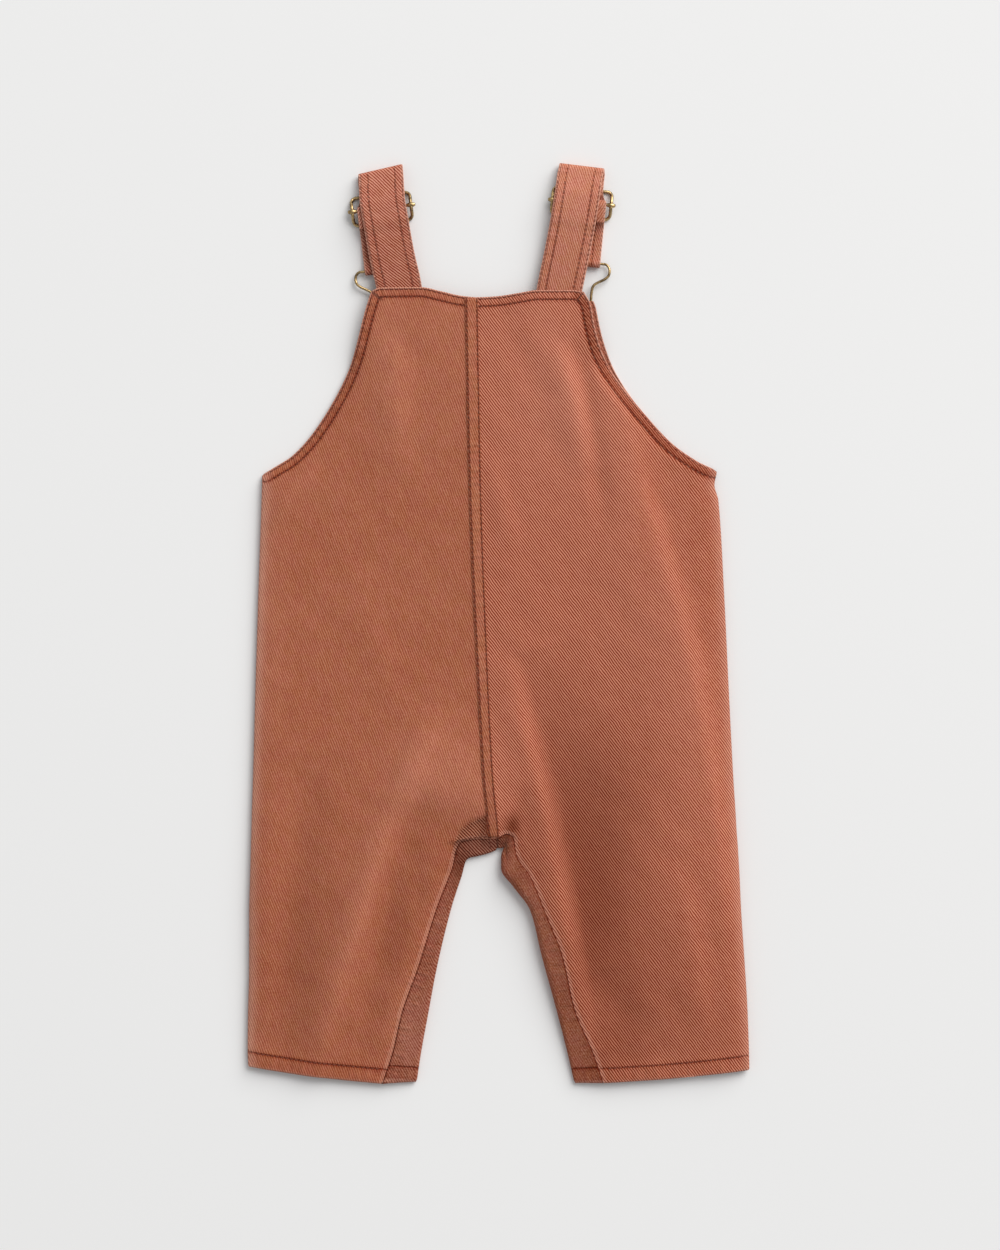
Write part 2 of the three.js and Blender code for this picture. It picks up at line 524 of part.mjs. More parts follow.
// ---- back and front halves
const ROW_STEP = 15;
const BACK_COLUMNS = [0, 0.22, 0.45, 0.7, ...spread(1, 2, 5), 2, 2.35, 2.7, 3];
const FRONT_FLAT = [0, 0.35, 0.65, ...spread(1, 2, 6), 2];
const FRONT_TURN = [2.25, 2.5, 2.75, ...spread(3, 4, 3), 4];
const halves = [makeHalf('left', LEFT_HALF), makeHalf('right', RIGHT_HALF)];
for (const garmentHalf of halves) {
  const { half, levels, crotch, top } = garmentHalf;
  const rows = meshLevels(levels, top, ROW_STEP);
  addPiece(`back_${half}`, clothSolid(garmentHalf.back, rows, BACK_COLUMNS, WALL), twill);
  const bibRows = meshLevels(levels, -BIB_TOP, ROW_STEP);
  const turnsUp = (level) => level >= crotch - 1e-6;
  addPiece(`front_${half}`, clothSolid(garmentHalf.front, bibRows, [...FRONT_FLAT, ...FRONT_TURN], WALL, {
    columnEnds: (level) => (turnsUp(level) ? [0, 4] : [0, 2]),
    present: (level, across) => across <= 2 || turnsUp(level),
  }), twill);
}

// ---- lap of the centre-back seam
const FELL_ENDS = { top: 195.9, foot: -126.8 };
const FELL_NARROW = { by: 1.3, from: 150, over: 280 }; // its left edge comes in towards the crotch
const FELL_STEP = 9;
function fellSurface(y, across) {
  const narrow = FELL_NARROW.by * ease((FELL_NARROW.from - y) / FELL_NARROW.over);
  const x = centreX(-y) + mix(FELL_RIGHT, narrow - FELL_LEFT, across);
  return new THREE.Vector3(x, y, lieHeight(x, y));
}
const fellRows = meshLevels([-FELL_ENDS.top, -FELL_ENDS.foot], -FELL_ENDS.top, FELL_STEP);
addPiece('back_centre_seam', clothSolid(
  (level, across) => fellSurface(-level, across), fellRows, [0, 0.5, 1], FELL_THICK,
  { offset: WALL / 2 + REST + FELL_THICK / 2 }), twill);

// ---- straps: one flat ribbon each, from the stitched stub at the slide to the tucked end
// Heights of the middle of the strap. down is measured from the slide's bar along the lower run,
// and hook stands for the distance from that bar to the hook's.
const LOWER = STRAP_THICK / 2; // lowest layer, on the table
const SECOND = LOWER + STRAP_THICK + GAP;
const WIRE_OVER = SLIDE_WIRE + REST + STRAP_THICK / 2; // over the slide's end wires
const WIRE_OVER_TWO = WIRE_OVER + STRAP_THICK + GAP;
const BAR_TURN = BAR.radius + GAP + STRAP_THICK / 2; // radius round the bar
const HOOK_TURN = HOOK_WIRE / 2 + GAP + STRAP_THICK / 2;
const STUB = BAR.height + BAR_TURN;
const OVER_ALL = STUB + STRAP_THICK + GAP;
const END_WIRE = SLIDE.height / 2;
const FOLD_TURN = 2.2;
const ASIDE_BY = 8; // above the bar the lower run leaves its line for the fold's middle
const ASIDE_RUN = 20;
const arc = (down, height, radius, from, to, parts) => Array.from({ length: parts + 1 }, (_, k) => {
  const angle = THREE.MathUtils.degToRad(mix(from, to, k / parts));
  return { down: down + radius * Math.cos(angle), z: height + radius * Math.sin(angle) };
});

function strapStations(strap) {
  const run = runOf(strap);
  const hook = run.length;
  const foldDown = strap.slide[1] - strap.fold.y + FOLD_TURN + LOWER;
  const lowerRun = [
    { down: 11.4, z: STUB - 0.6 }, { down: END_WIRE, z: STUB }, { down: 4, z: STUB },
    ...arc(0, BAR.height, BAR_TURN, 90, 270, 6),
    { down: 3.4, z: SECOND + 0.15 }, { down: 6, z: WIRE_OVER_TWO - 0.5 },
    { down: END_WIRE, z: WIRE_OVER_TWO }, { down: END_WIRE + 2.6, z: WIRE_OVER_TWO - 0.5 },
    { down: END_WIRE + 6.4, z: SECOND + 0.1 }, { down: hook - 9, z: SECOND },
    { down: hook - 4.5, z: SECOND + 0.6 },
    ...arc(hook, HOOK_BAR_HEIGHT, HOOK_TURN, 90, -90, 6),
    { down: hook - 9, z: LOWER }, { down: END_WIRE + 6.4, z: LOWER }, { down: END_WIRE + 2.6, z: WIRE_OVER - 0.6 },
    { down: END_WIRE, z: WIRE_OVER }, { down: END_WIRE - 2.6, z: WIRE_OVER - 0.7 },
    { down: 3, z: LOWER + 0.1 }, { down: 0, z: LOWER }, { down: -3, z: LOWER + 0.1 },
    { down: -END_WIRE + 2.6, z: WIRE_OVER - 0.7 }, { down: -END_WIRE, z: WIRE_OVER },
    { down: -END_WIRE - 2.6, z: WIRE_OVER - 0.6 }, { down: -END_WIRE - 5.6, z: LOWER + 0.3 },
  ];
  const stations = lowerRun.map(({ down, z }) => {
    const above = ease(-down / ASIDE_BY) * (strap.fold.x - strap.slide[0] + run.down[0] * ASIDE_RUN);
    return {
      at: new THREE.Vector3(
        strap.slide[0] + run.down[0] * down + above, strap.slide[1] + run.down[1] * down, z),
      turn: Math.atan2(run.across[1], run.across[0]),
    };
  });
  const foldTurn = THREE.MathUtils.degToRad(strap.fold.turn);
  const turnOver = arc(0, LOWER + FOLD_TURN, FOLD_TURN, -90, -270, 6);
  turnOver.forEach(({ down, z }, k) => {
    const upper = strap.back[0].x;
    stations.push({
      at: new THREE.Vector3(
        mix(strap.fold.x, upper, k / 6), strap.fold.y - FOLD_TURN - LOWER - down, z),
      turn: foldTurn,
    });
  });
  const places = strap.back.map(({ y }) => -y);
  const middle = curveThrough(places, strap.back.map(({ x }) => x));
  const heights = curveThrough(
    [foldDown, -END_WIRE, -3, END_WIRE + 1, END_WIRE + 6, hook - 10, hook, hook + 60],
    [LOWER + 2 * FOLD_TURN, OVER_ALL - 0.9, OVER_ALL, OVER_ALL, OVER_ALL - 1, STRAP_END + 0.2, STRAP_END,
      STRAP_END]);
  const start = strap.fold.y - FOLD_TURN - LOWER - 3.5;
  const end = strap.back[strap.back.length - 1].y;
  const parts = 14;
  for (let k = 0; k <= parts; k++) {
    const y = mix(start, end, k / parts);
    const lean = Math.atan(middle(-y + 1) / 2 - middle(-y - 1) / 2);
    stations.push({
      at: new THREE.Vector3(middle(-y), y, heights(strap.slide[1] - y)),
      turn: mix(foldTurn, lean, ease((start + 4 - y) / 16)),
    });
  }
  return stations;
}

function ribbonSolid(stations, width, thick) {
  const positions = [];
  const faces = [];
  const count = stations.length;
  stations.forEach(({ at, turn }, k) => {
    const ahead = stations[Math.min(k + 1, count - 1)].at.clone();
    const along = ahead.sub(stations[Math.max(k - 1, 0)].at).normalize();
    const wide = new THREE.Vector3(Math.cos(turn), Math.sin(turn), 0);
    const normal = wide.clone().cross(along).normalize();
    for (const [side, face] of [[-1, -1], [1, -1], [1, 1], [-1, 1]]) {
      const point = at.clone().addScaledVector(wide, side * width / 2);
      point.addScaledVector(normal, face * thick / 2);
      positions.push(point.x, point.y, point.z);
    }
  });
  for (let k = 0; k + 1 < count; k++) {
    for (let side = 0; side < 4; side++) {
      const a = 4 * k + side;
      const b = 4 * k + (side + 1) % 4;
      faces.push(a, b, b + 4, a, b + 4, a + 4);
    }
  }
  const end = 4 * (count - 1);
  faces.push(0, 2, 1, 0, 3, 2, end, end + 1, end + 2, end, end + 2, end + 3);
  return closedGeometry(positions, faces);
}
for (const strap of STRAPS) {
  addPiece(`strap_${strap.side}`, ribbonSolid(strapStations(strap), STRAP_WIDTH, STRAP_THICK), twill);
}

// ---- bent wire: a closed loop, placed by where its middle is, and turned with its strap
function wireLoop(points, diameter, segments, sides) {
  const curve = new THREE.CatmullRomCurve3(points, true, 'centripetal');
  const tube = new THREE.TubeGeometry(curve, segments, diameter / 2, sides, true);
  tube.deleteAttribute('normal');
  tube.deleteAttribute('uv');
  return mergeVertices(tube, 1e-3);
}
const placed = (strap, at) => {
  const { down, across } = runOf(strap);
  return (out, below, z) => new THREE.Vector3(
    at[0] + across[0] * out + down[0] * below, at[1] + across[1] * out + down[1] * below, z);
};

// ---- slide frames: rounded oblongs whose side wires rise to the bar
for (const strap of STRAPS) {
  const place = placed(strap, slideCentre(strap));
  const halfWide = SLIDE.width / 2;
  const points = [];
  const corners = [[1, 1, 0], [-1, 1, 90], [-1, -1, 180], [1, -1, 270]];
  const height = (below) => mix(SLIDE_WIRE / 2, BAR.height, ease((END_WIRE - Math.abs(below)) / SLIDE.rise));
  for (const [out, below, from] of corners) {
    for (let k = 0; k <= 3; k++) {
      const angle = THREE.MathUtils.degToRad(from + 30 * k);
      const u = out * (halfWide - SLIDE.corner) + SLIDE.corner * Math.cos(angle);
      const v = below * (END_WIRE - SLIDE.corner) + SLIDE.corner * Math.sin(angle);
      points.push(place(u, v, height(v)));
    }
    if (out * below < 0) {
      for (const v of [2.4, 0, -2.4]) points.push(place(out * halfWide, below * v, BAR.height));
    } else {
      points.push(place(0, below * END_WIRE, SLIDE_WIRE / 2));
    }
  }
  addPiece(`slide_frame_${strap.side}`, wireLoop(points, SLIDE_WIRE, 48, 6), brass);
}

// ---- slide bars: a turned pin whose knobs slide on the frame's side wires
const wasm = await Module();
wasm.setup();
function toManifold(geometry, matrix) {
  const plain = geometry.clone().applyMatrix4(matrix);
  plain.deleteAttribute('normal');
  plain.deleteAttribute('uv');
  const merged = mergeVertices(plain, 1e-3);
  return new wasm.Manifold(new wasm.Mesh({
    numProp: 3,
    vertProperties: new Float32Array(merged.attributes.position.array),
    triVerts: new Uint32Array(merged.index.array),
  }));
}
function fromManifold(solid) {
  const { vertProperties, triVerts } = solid.getMesh();
  const geometry = new THREE.BufferGeometry();
  geometry.setAttribute('position', new THREE.BufferAttribute(vertProperties, 3));
  geometry.setIndex(new THREE.BufferAttribute(triVerts, 1));
  return geometry;
}
const halfBar = [
  [BAR.reach, 0], [BAR.reach - 0.1, 0.9], [BAR.reach - 0.7, 1.7],
  [BAR.reach - 1.8, BAR.knob], [BAR.reach - 3.6, BAR.knob], [BAR.reach - 4.7, 1.7], [BAR.reach - 5.3, BAR.radius],
];
const barProfile = [...halfBar.map(([out, radius]) => [-out, radius]), ...halfBar.toReversed()]
  .map(([out, radius]) => new THREE.Vector2(radius, out));
for (const strap of STRAPS) {
  const { down, across } = runOf(strap);
  const [x, y] = slideCentre(strap);
  const acrossWay = new THREE.Vector3(...across, 0);
  const downWay = new THREE.Vector3(...down, 0);
  const frame = new THREE.Matrix4().makeBasis(downWay, acrossWay, new THREE.Vector3(0, 0, 1));
  const pin = new THREE.LatheGeometry(barProfile, 10);
  const centre = new THREE.Vector3(x, y, BAR.height);
  let bar = toManifold(pin, frame.clone().setPosition(centre));
  for (const sideWire of [-1, 1]) {
    const hole = new THREE.CylinderGeometry(BAR.hole, BAR.hole, 3 * BAR.knob, 10);
    const at = centre.clone().addScaledVector(acrossWay, sideWire * SLIDE.width / 2);
    const turned = new THREE.Matrix4().makeBasis(acrossWay, downWay, new THREE.Vector3(0, 0, -1));
    bar = bar.subtract(toManifold(hole, turned.setPosition(at)));
  }
  addPiece(`slide_bar_${strap.side}`, fromManifold(bar), brass);
}

// ---- hooks: wide shoulders, a neck that the button's head passes, a narrow foot for its shank
for (const strap of STRAPS) {
  const place = placed(strap, hookCentre(strap));
  const height = (below) => mix(HOOK_BAR_HEIGHT, HOOK_NECK_HEIGHT, ease(below / 15));
  const wire = ({ out, down }, side) => place(side * out, down, height(down));
  const points = [
    ...HOOK.map((point) => wire(point, 1)),
    ...HOOK.slice(1, -1).reverse().map((point) => wire(point, -1)),
  ];
  addPiece(`hook_${strap.side}`, wireLoop(points, HOOK_WIRE, 56, 6), brass);
}

// ---- bib buttons: a flat head that faces the table, on a shank that ends under the bib's cloth
const buttonProfile = [
  [0, 0], [BUTTON.head / 2 - 0.7, 0], [BUTTON.head / 2, 0.6], [BUTTON.head / 2, BUTTON.headThick - 0.4],
  [BUTTON.head / 2 - 0.6, BUTTON.headThick], [BUTTON.shank / 2, BUTTON.headThick],
  [BUTTON.shank / 2, BUTTON.top], [0, BUTTON.top],
].map(([radius, height]) => new THREE.Vector2(radius, height));
for (const strap of STRAPS) {
  const [x, y] = buttonAt(strap);
  const button = new THREE.LatheGeometry(buttonProfile, 18).rotateX(Math.PI / 2);
  addPiece(`bib_button_${strap.side}`, button.translate(x, y, 0), brass);
}

// the origin is on the table, under the middle of the garment's box
const box = new THREE.Box3().setFromObject(overalls);
overalls.position.set(-(box.min.x + box.max.x) / 2, -(box.min.y + box.max.y) / 2, -box.min.z);

export default overalls;
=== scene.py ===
import math

import bpy
import numpy as np
from mathutils import Matrix, Vector
from mathutils.bvhtree import BVHTree


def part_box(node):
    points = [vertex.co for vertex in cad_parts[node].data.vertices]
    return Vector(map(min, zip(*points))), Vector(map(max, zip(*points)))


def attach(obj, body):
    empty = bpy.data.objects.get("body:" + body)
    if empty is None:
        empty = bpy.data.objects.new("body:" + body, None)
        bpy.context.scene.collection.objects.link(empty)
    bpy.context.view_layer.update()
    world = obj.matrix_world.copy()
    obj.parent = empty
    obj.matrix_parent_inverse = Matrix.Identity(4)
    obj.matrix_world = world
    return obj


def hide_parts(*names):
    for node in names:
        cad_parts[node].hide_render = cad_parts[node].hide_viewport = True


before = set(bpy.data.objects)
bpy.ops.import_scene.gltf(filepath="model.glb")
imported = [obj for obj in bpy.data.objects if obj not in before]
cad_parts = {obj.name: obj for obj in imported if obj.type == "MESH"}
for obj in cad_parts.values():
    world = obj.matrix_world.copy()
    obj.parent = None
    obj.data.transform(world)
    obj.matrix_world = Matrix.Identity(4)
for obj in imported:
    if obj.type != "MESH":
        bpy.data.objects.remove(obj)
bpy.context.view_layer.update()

# ---------------------------------------------------------------------------------------------
# The table, the light and the camera. A plain pale table top, one broad soft lamp high on the
# upper right and an even pale room round it. The camera hangs straight above the garment.
MM = 0.001
TABLE_REACH = 4000
TABLE_COLOUR = (0.885, 0.89, 0.895, 1)
ROOM_LIGHT = 0.405
LAMP = {"place": (6.1, 7.6, 7.0), "size": 10.5, "power": 1640}
CAMERA = {"over": (0.9, -0.3), "height": 1777, "lens": 85}


def node(tree, kind, inputs=None, **settings):
    made = tree.nodes.new("ShaderNode" + kind)
    for key, value in settings.items():
        setattr(made, key, value)
    for key, value in (inputs or {}).items():
        if hasattr(value, "socket"):
            tree.links.new(value.socket, made.inputs[key])
        else:
            made.inputs[key].default_value = value
    return made


def new_material(name, **finish):
    material = bpy.data.materials.new(name)
    material.use_nodes = True
    tree = material.node_tree
    tree.nodes.clear()
    finish = {key.replace("_", " "): value for key, value in finish.items()}
    surface = node(tree, "BsdfPrincipled", finish)
    tree.links.new(surface.outputs[0], node(tree, "OutputMaterial").inputs["Surface"])
    return material, tree, surface


def mesh_piece(name, points, faces, material):
    mesh = bpy.data.meshes.new(name)
    mesh.from_pydata((np.asarray(points) * MM).tolist(), [], [tuple(face) for face in faces])
    mesh.update()
    mesh.polygons.foreach_set("use_smooth", [True] * len(mesh.polygons))
    mesh.materials.append(material)
    piece = bpy.data.objects.new(name, mesh)
    bpy.context.scene.collection.objects.link(piece)
    return piece


table_top, tree, surface = new_material("table_top", Base_Color=TABLE_COLOUR, Roughness=0.9)
surface.inputs["Specular IOR Level"].default_value = 0.1
corners = [(x * TABLE_REACH, y * TABLE_REACH, 0) for x, y in ((-1, -1), (1, -1), (1, 1), (-1, 1))]
table = mesh_piece("table", corners, [(0, 1, 2, 3)], table_top)

room = bpy.data.worlds.new("room")
room.use_nodes = True
room.node_tree.nodes["Background"].inputs["Color"].default_value = (1, 1, 1, 1)
room.node_tree.nodes["Background"].inputs["Strength"].default_value = ROOM_LIGHT
bpy.context.scene.world = room

lamp = bpy.data.objects.new("lamp", bpy.data.lights.new("lamp", "AREA"))
lamp.data.size = LAMP["size"]
lamp.data.energy = LAMP["power"]
lamp.data.color = (1, 0.985, 0.965)
lamp.location = LAMP["place"]
lamp.rotation_euler = (-lamp.location).to_track_quat("-Z", "Y").to_euler()
bpy.context.scene.collection.objects.link(lamp)

camera = bpy.data.objects.new("camera", bpy.data.cameras.new("camera"))
camera.data.sensor_width = 36
camera.data.lens = CAMERA["lens"]
camera.data.clip_end = 20
camera.location = (CAMERA["over"][0] * MM, CAMERA["over"][1] * MM, CAMERA["height"] * MM)
bpy.context.scene.collection.objects.link(camera)
bpy.context.scene.camera = camera
bpy.context.scene.view_settings.view_transform = "Standard"
bpy.context.scene.view_settings.look = "None"

# ---------------------------------------------------------------------------------------------
# The two front halves. They are single layers of twill that lie on the table. Each one turns up
# at the side seam, and round the inner leg, where it comes over the top and meets the back at
# the inseam. Their bib rises over the hooks and buttons.
WALL = 1.1  # one layer of twill
GAP = 0.3  # between two pieces that lie on each other
REST = 0.4  # the same where they also bend together
CENTRE_GAP = 0.16
INSEAM_GAP = 0.16
CROTCH_ROOM = 0.1
CROTCH_ROOM_FADE = (16, 14)
LEG_GAP = 0.1
TABLE_LAYER = WALL / 2
STRAP_WIDTH = 27.2
STRAP_THICK = 1.4
HOOK_WIRE = 1.6
SHOULDER = 14  # width of the zone where the back turns down to the side
INNER_ZONE = 10  # width of the zone where the back comes down to the inseam
SIDE_TURN = 2.6
SIDE_EVEN = 1.6  # sets the mesh's columns closer together where that turn is steepest
SIDE_JOIN = TABLE_LAYER + SIDE_TURN + GAP
UNDERARM = {"left": 89.7, "right": 92.1}
BIB_TOP = 194.4
HEM_BOW = 0.9
HEM_BOW_FADE = 30
EDGE_FADE = 24
JOIN_FADE = 8
OUTWARD_FADE = 6
CENTRE_BLEND = 25
BUTTON_DROP = 40
BIB_LIFT = 4.4
BIB_LIFT_REACH = 18
BIB_LIFT_FADE = 16
STRAP_END = 6.45
STRAP_END_LIE = STRAP_END + STRAP_THICK / 2 + REST + WALL / 2
STRAP_END_ROOM = 3
STRAP_END_FADE = 20
ARMHOLE_REST = 0.45

# Down each half of the garment, one row for each level. Down the body, from the neck corner: the
# outer edge, the centre seam, and how far the bib's armhole edge lies inside the back's.
LEFT_BODY = [
    (-76.2, 200.1, -13.5, 196.8, 3.5), (-79.5, 189.9, -13.3, 188, 3.5), (-87.9, 158.7, -12.8, 158, 2),
    (-93.9, 144.3, -12.5, 143, 1.6), (-111.3, 115.5, -11.9, 110, 1), (-124.5, 101.1, -11.5, 92, 0.6),
    (-135.9, 93.9, -11.3, 82, 0.3), (-141.6, 89.7, -11.1, 75, 0), (-142.7, 64, -10.4, 52, 0),
    (-145.5, -21, -7.3, -26, 0), (-147.5, -93, -3.9, -94, 0),
]
RIGHT_BODY = [
    (51.3, 199.7, -13.5, 196.8, -2.6), (55.4, 192, -13.3, 189, -2.7), (57.6, 180.3, -13.1, 177, -3),
    (61.5, 165.9, -12.9, 163, -3), (68.7, 151.5, -12.6, 148, -2), (91.5, 122.7, -12, 117, 0.3),
    (105.3, 108.3, -11.7, 99, 0.5), (120.9, 97.5, -11.4, 84, 0.4), (130.9, 92.1, -11.2, 76, 0),
    (129.9, 84, -10.9, 67, 0), (132.2, 75, -10.7, 59, 0), (135.9, 14.7, -9, 8, 0),
    (138.5, -39, -6.7, -40, 0), (141.3, -93, -3.9, -94, 0),
]

# Down the leg, from the last of the centre seam to the hem: the outer edge, the inner leg seam on
# the upper side, the line where the front turns up, the radius of that turn, how long it stays low
# before it rises to the inseam, and how far the back comes down to the inseam.
LEFT_LEG = [
    (-148.2, -114, -1.6, -117, -1.6, -118, 0.6, 1, 0),
    (-148.4, -122, -0.6, -127.8, -0.6, -134.2, 1.5, 1, 0),
    (-148.6, -129, -12, -128.2, -10.5, -138.6, 1.5, 1, 1.2),
    (-148.8, -137, -22.8, -130.5, -18.3, -140.6, 1.3, 2, 2.8),
    (-149.2, -151, -28.4, -147, -22, -151.5, 1.3, 3, 3.4),
    (-149.7, -170, -36.6, -168, -28, -170, 1.5, 2.4, 3),
    (-149.8, -207, -48.9, -207, -37, -207.3, 2.2, 1, 1.6),
    (-150.4, -232, -57.8, -232, -41.8, -233, 2.2, 1, 1.2),
    (-150.7, -254, -64, -258, -46.2, -257, 1.7, 1, 0.7),
    (-150.3, -265.2, -69.9, -275.6, -48.9, -274.8, 1.2, 1, 0.4),
]
RIGHT_LEG = [
    (142.6, -113, -1.6, -117, -1.6, -118, 0.6, 1, 0),
    (143, -120, -0.6, -127.8, -0.6, -134.2, 1.5, 1, 0),
    (143.3, -125, 4.4, -125, 3, -134, 1.8, 1, 0),
    (143.8, -131, 9, -127, 1.4, -139, 2.7, 1, 0.3),
    (144.3, -139, 11, -138, 1.4, -146.5, 3.6, 1, 0.8),
    (145, -151, 19, -150, 8.6, -157, 3.8, 1, 0.6),
    (145.9, -171, 27.8, -171, 18.9, -171.6, 3.9, 1, 0.6),
    (147.7, -198, 38.4, -198, 25.6, -198, 3.7, 1, 0.6),
    (149.7, -230, 46, -231, 34.6, -231, 2.9, 1, 0.6),
    (150.6, -255, 57, -257, 41, -256, 1.9, 1, 0.5),
    (150.9, -267.3, 63.3, -275.1, 45.6, -275.6, 1.2, 1, 0.3),
]
HALF_COLUMNS = ("side_x", "side_y", "seam_x", "seam_y", "fold_x", "fold_y", "roll", "flange", "drop", "bib")


def half_table(body, leg):
    """The rows of a half, each with all its columns: down the body nothing turns up at the seam."""
    return [
        *((*side_and_seam, *side_and_seam[2:], 0, 1, 0, bib) for *side_and_seam, bib in body),
        *((*row, 0) for row in leg),
    ]


CROTCH_ROW = {"left": 12, "right": 15}
# near the crotch the back's rows run level and dip only beside the seam: levels and depths
DIPS = {
    "left": ([93, 114, 122, 129], [0, 2.5, 5, 0]),
    "right": ([93, 113, 120, 125, 131], [0, 3.5, 7, 1, 0]),
}
DIP_REACH = 16

# the back's neck edge, from the left corner over the centre seam to the right corner
NECKLINE = [
    (-76.2, 200.1), (-71, 202.2), (-46.5, 202.5), (-34.5, 200.2), (-21.9, 197.5), (-12.3, 196.7),
    (-2.7, 197.1), (12.9, 199.2), (23.1, 200.7), (44, 200.8), (51.3, 199.7),
]

# height of the upper layer down the garment: level, over the left half, over the right half
LIE = [
    (205, 6.4, 6.4), (150, 6.6, 6.8), (90, 5.8, 6.4), (0, 5.4, 6.4), (-80, 6.0, 7.4),
    (-128, 6.8, 8.4), (-170, 7.4, 9.2), (-220, 7.0, 8.2), (-262, 5.0, 5.8), (-280, 4.4, 4.8),
]

# Folds of the upper layer: from, to, the bow that pushes the middle to the left, how wide the fold
# is to its left and its right as one looks along it, and its lift. A negative lift is a hollow.
FOLDS = [
    # the largest: a long shoulder down the right side, the ridge from the crotch down the right
    # leg with the broad hollow beside it, and the bulge and the ridge of the left leg
    ((60, 158), (136, -186), 12, (9, 34), 4.6),
    ((2, -16), (47, -236), 5, (7, 10), 2.2),
    ((14, -16), (62, -254), 4, (34, 6), -6.2),
    ((66, -205), (82, -268), 0, (14, 14), -2.0),
    ((8, -116), (-62, -84), 0, (17, 34), 4.0),
    ((-36, -50), (-116, -290), -6, (8, 14), 4.8),
    ((-54, -106), (-84, -270), 0, (13, 9), -3.4),
    ((-112, -76), (-132, -262), 0, (15, 12), -3.2),
    ((20, 206), (56, 90), 2, (7, 13), 3.0),
    ((42, 190), (64, 50), 2, (7, 6), -2.2),
    ((-66, 212), (-60, 86), 0, (9, 14), 2.4),
    # smaller creases of the right half
    ((-8, 104), (10, 40), 2, (5, 7), 0.8),
    ((78, 110), (112, 0), 6, (6, 6), -1.0),
    ((10, -52), (40, -150), 2, (4, 4), 0.5),
    ((104, -140), (124, -256), 3, (8, 12), 1.8),
    # smaller creases of the left half
    ((-140, 58), (-106, 96), 1, (5, 6), 1.7),
    ((-50, -130), (-46, -190), 1, (6, 6), -1.0),
    ((-96, 40), (-60, -60), 4, (10, 14), 0.9),
]
FOLD_TAPER = 0.75  # less than 1 keeps a fold's ends full

# where the left leg's cloth bulges over the crotch: the edge of the bulge, and how far the cloth
# lies below it between that edge and the lap of the centre seam, with the zones it goes down in
CROTCH_TUCK = {
    "edge": [(-2, -110), (-8.5, -115), (-17.6, -119), (-24.5, -126), (-27.5, -134)],
    "low": 2.8, "right": -5.6, "edge_zone": 2.8, "right_zone": 4, "top_zone": 6,
}

# slide and hook: where the strap crosses their bars. fold: its turn-over at the shoulder, and
# the turn there in degrees. The shifts: how far the slide and the hook sit beside the strap's
# middle. back: the middle line of the upper run, from the fold to the end under the neck edge.
STRAPS = {
    "left": {
        "slide": (-71.2, 250.1), "hook": (-66.8, 214.1), "fold": (-71.2, 274.1), "turn": 13,
        "slide_shift": 1.1, "hook_shift": -1.3,
        "back": [(-70.6, 274.1), (-69.8, 257), (-67.2, 240.5), (-63.3, 219), (-60.2, 206), (-58.2, 193.6)],
    },
    "right": {
        "slide": (51.2, 253.6), "hook": (47.7, 218.4), "fold": (50.6, 276.1), "turn": -7,
        "slide_shift": -1.1, "hook_shift": 1.3,
        "back": [(49.8, 276.1), (47.3, 258), (44.5, 240.5), (39.5, 215), (37.4, 205), (35.4, 193.6)],
    },
}


def ease(t):
    k = np.clip(t, 0, 1)
    return k * k * (3 - 2 * k)


def mix(a, b, t):
    return a + (b - a) * t


def curve_through(places, values):
    """A smooth curve through the values of a table, which never overshoots them."""
    places, values = np.array(places, float), np.array(values, float)
    slope = np.diff(values) / np.diff(places)
    before, after = slope[:-1], slope[1:]
    bends = before * after <= 0
    inner = np.where(bends, 0, 2 * before * after / np.where(bends, 1, before + after))
    lean = np.concatenate([slope[:1], inner, slope[-1:]])

    def curve(place):
        at = np.clip(place, places[0], places[-1])
        k = np.clip(np.searchsorted(places, at) - 1, 0, len(slope) - 1)
        step = places[k + 1] - places[k]
        t = (at - places[k]) / step
        rise = 3 * t**2 - 2 * t**3
        return (
            (1 - rise) * values[k] + (t**3 - 2 * t**2 + t) * step * lean[k]
            + rise * values[k + 1] + (t**3 - t**2) * step * lean[k + 1]
        )

    return curve


neck_y = curve_through([x for x, y in NECKLINE], [y for x, y in NECKLINE])
lie_left = curve_through([-y for y, left, right in LIE], [left for y, left, right in LIE])
lie_right = curve_through([-y for y, left, right in LIE], [right for y, left, right in LIE])
LEFT_HALF, RIGHT_HALF = half_table(LEFT_BODY, LEFT_LEG), half_table(RIGHT_BODY, RIGHT_LEG)
CENTRE_ROWS = LEFT_HALF[: CROTCH_ROW["left"] + 1]
centre_x = curve_through([-row[3] for row in CENTRE_ROWS], [row[2] for row in CENTRE_ROWS])


def near_line(x, y, start, end, reach, over):
    """1 on the line between two points, 0 beyond its reach."""
    dx, dy = end[0] - start[0], end[1] - start[1]
    t = np.clip(((x - start[0]) * dx + (y - start[1]) * dy) / (dx * dx + dy * dy), 0, 1)
    return 1 - ease((np.hypot(x - start[0] - t * dx, y - start[1] - t * dy) - reach) / over)


def run_of(strap):
    """Direction of a strap's lower run, and the direction across it."""
    run = np.subtract(strap["hook"], strap["slide"])
    down = run / np.hypot(*run)
    return down, np.array([-down[1], down[0]])


def beside(strap, at, shift, below=0.0):
    """A place beside and below another on the strap's lower run."""
    down, across = run_of(strap)
    return np.array(at) + across * shift + down * below


def hook_centre(strap):
    return beside(strap, strap["hook"], strap["hook_shift"])


def button_at(strap):
    return beside(strap, strap["hook"], strap["hook_shift"], BUTTON_DROP)


def over_hook(x, y):
    return np.maximum(*[
        near_line(x, y, hook_centre(strap), button_at(strap), BIB_LIFT_REACH, BIB_LIFT_FADE)
        for strap in STRAPS.values()
    ])


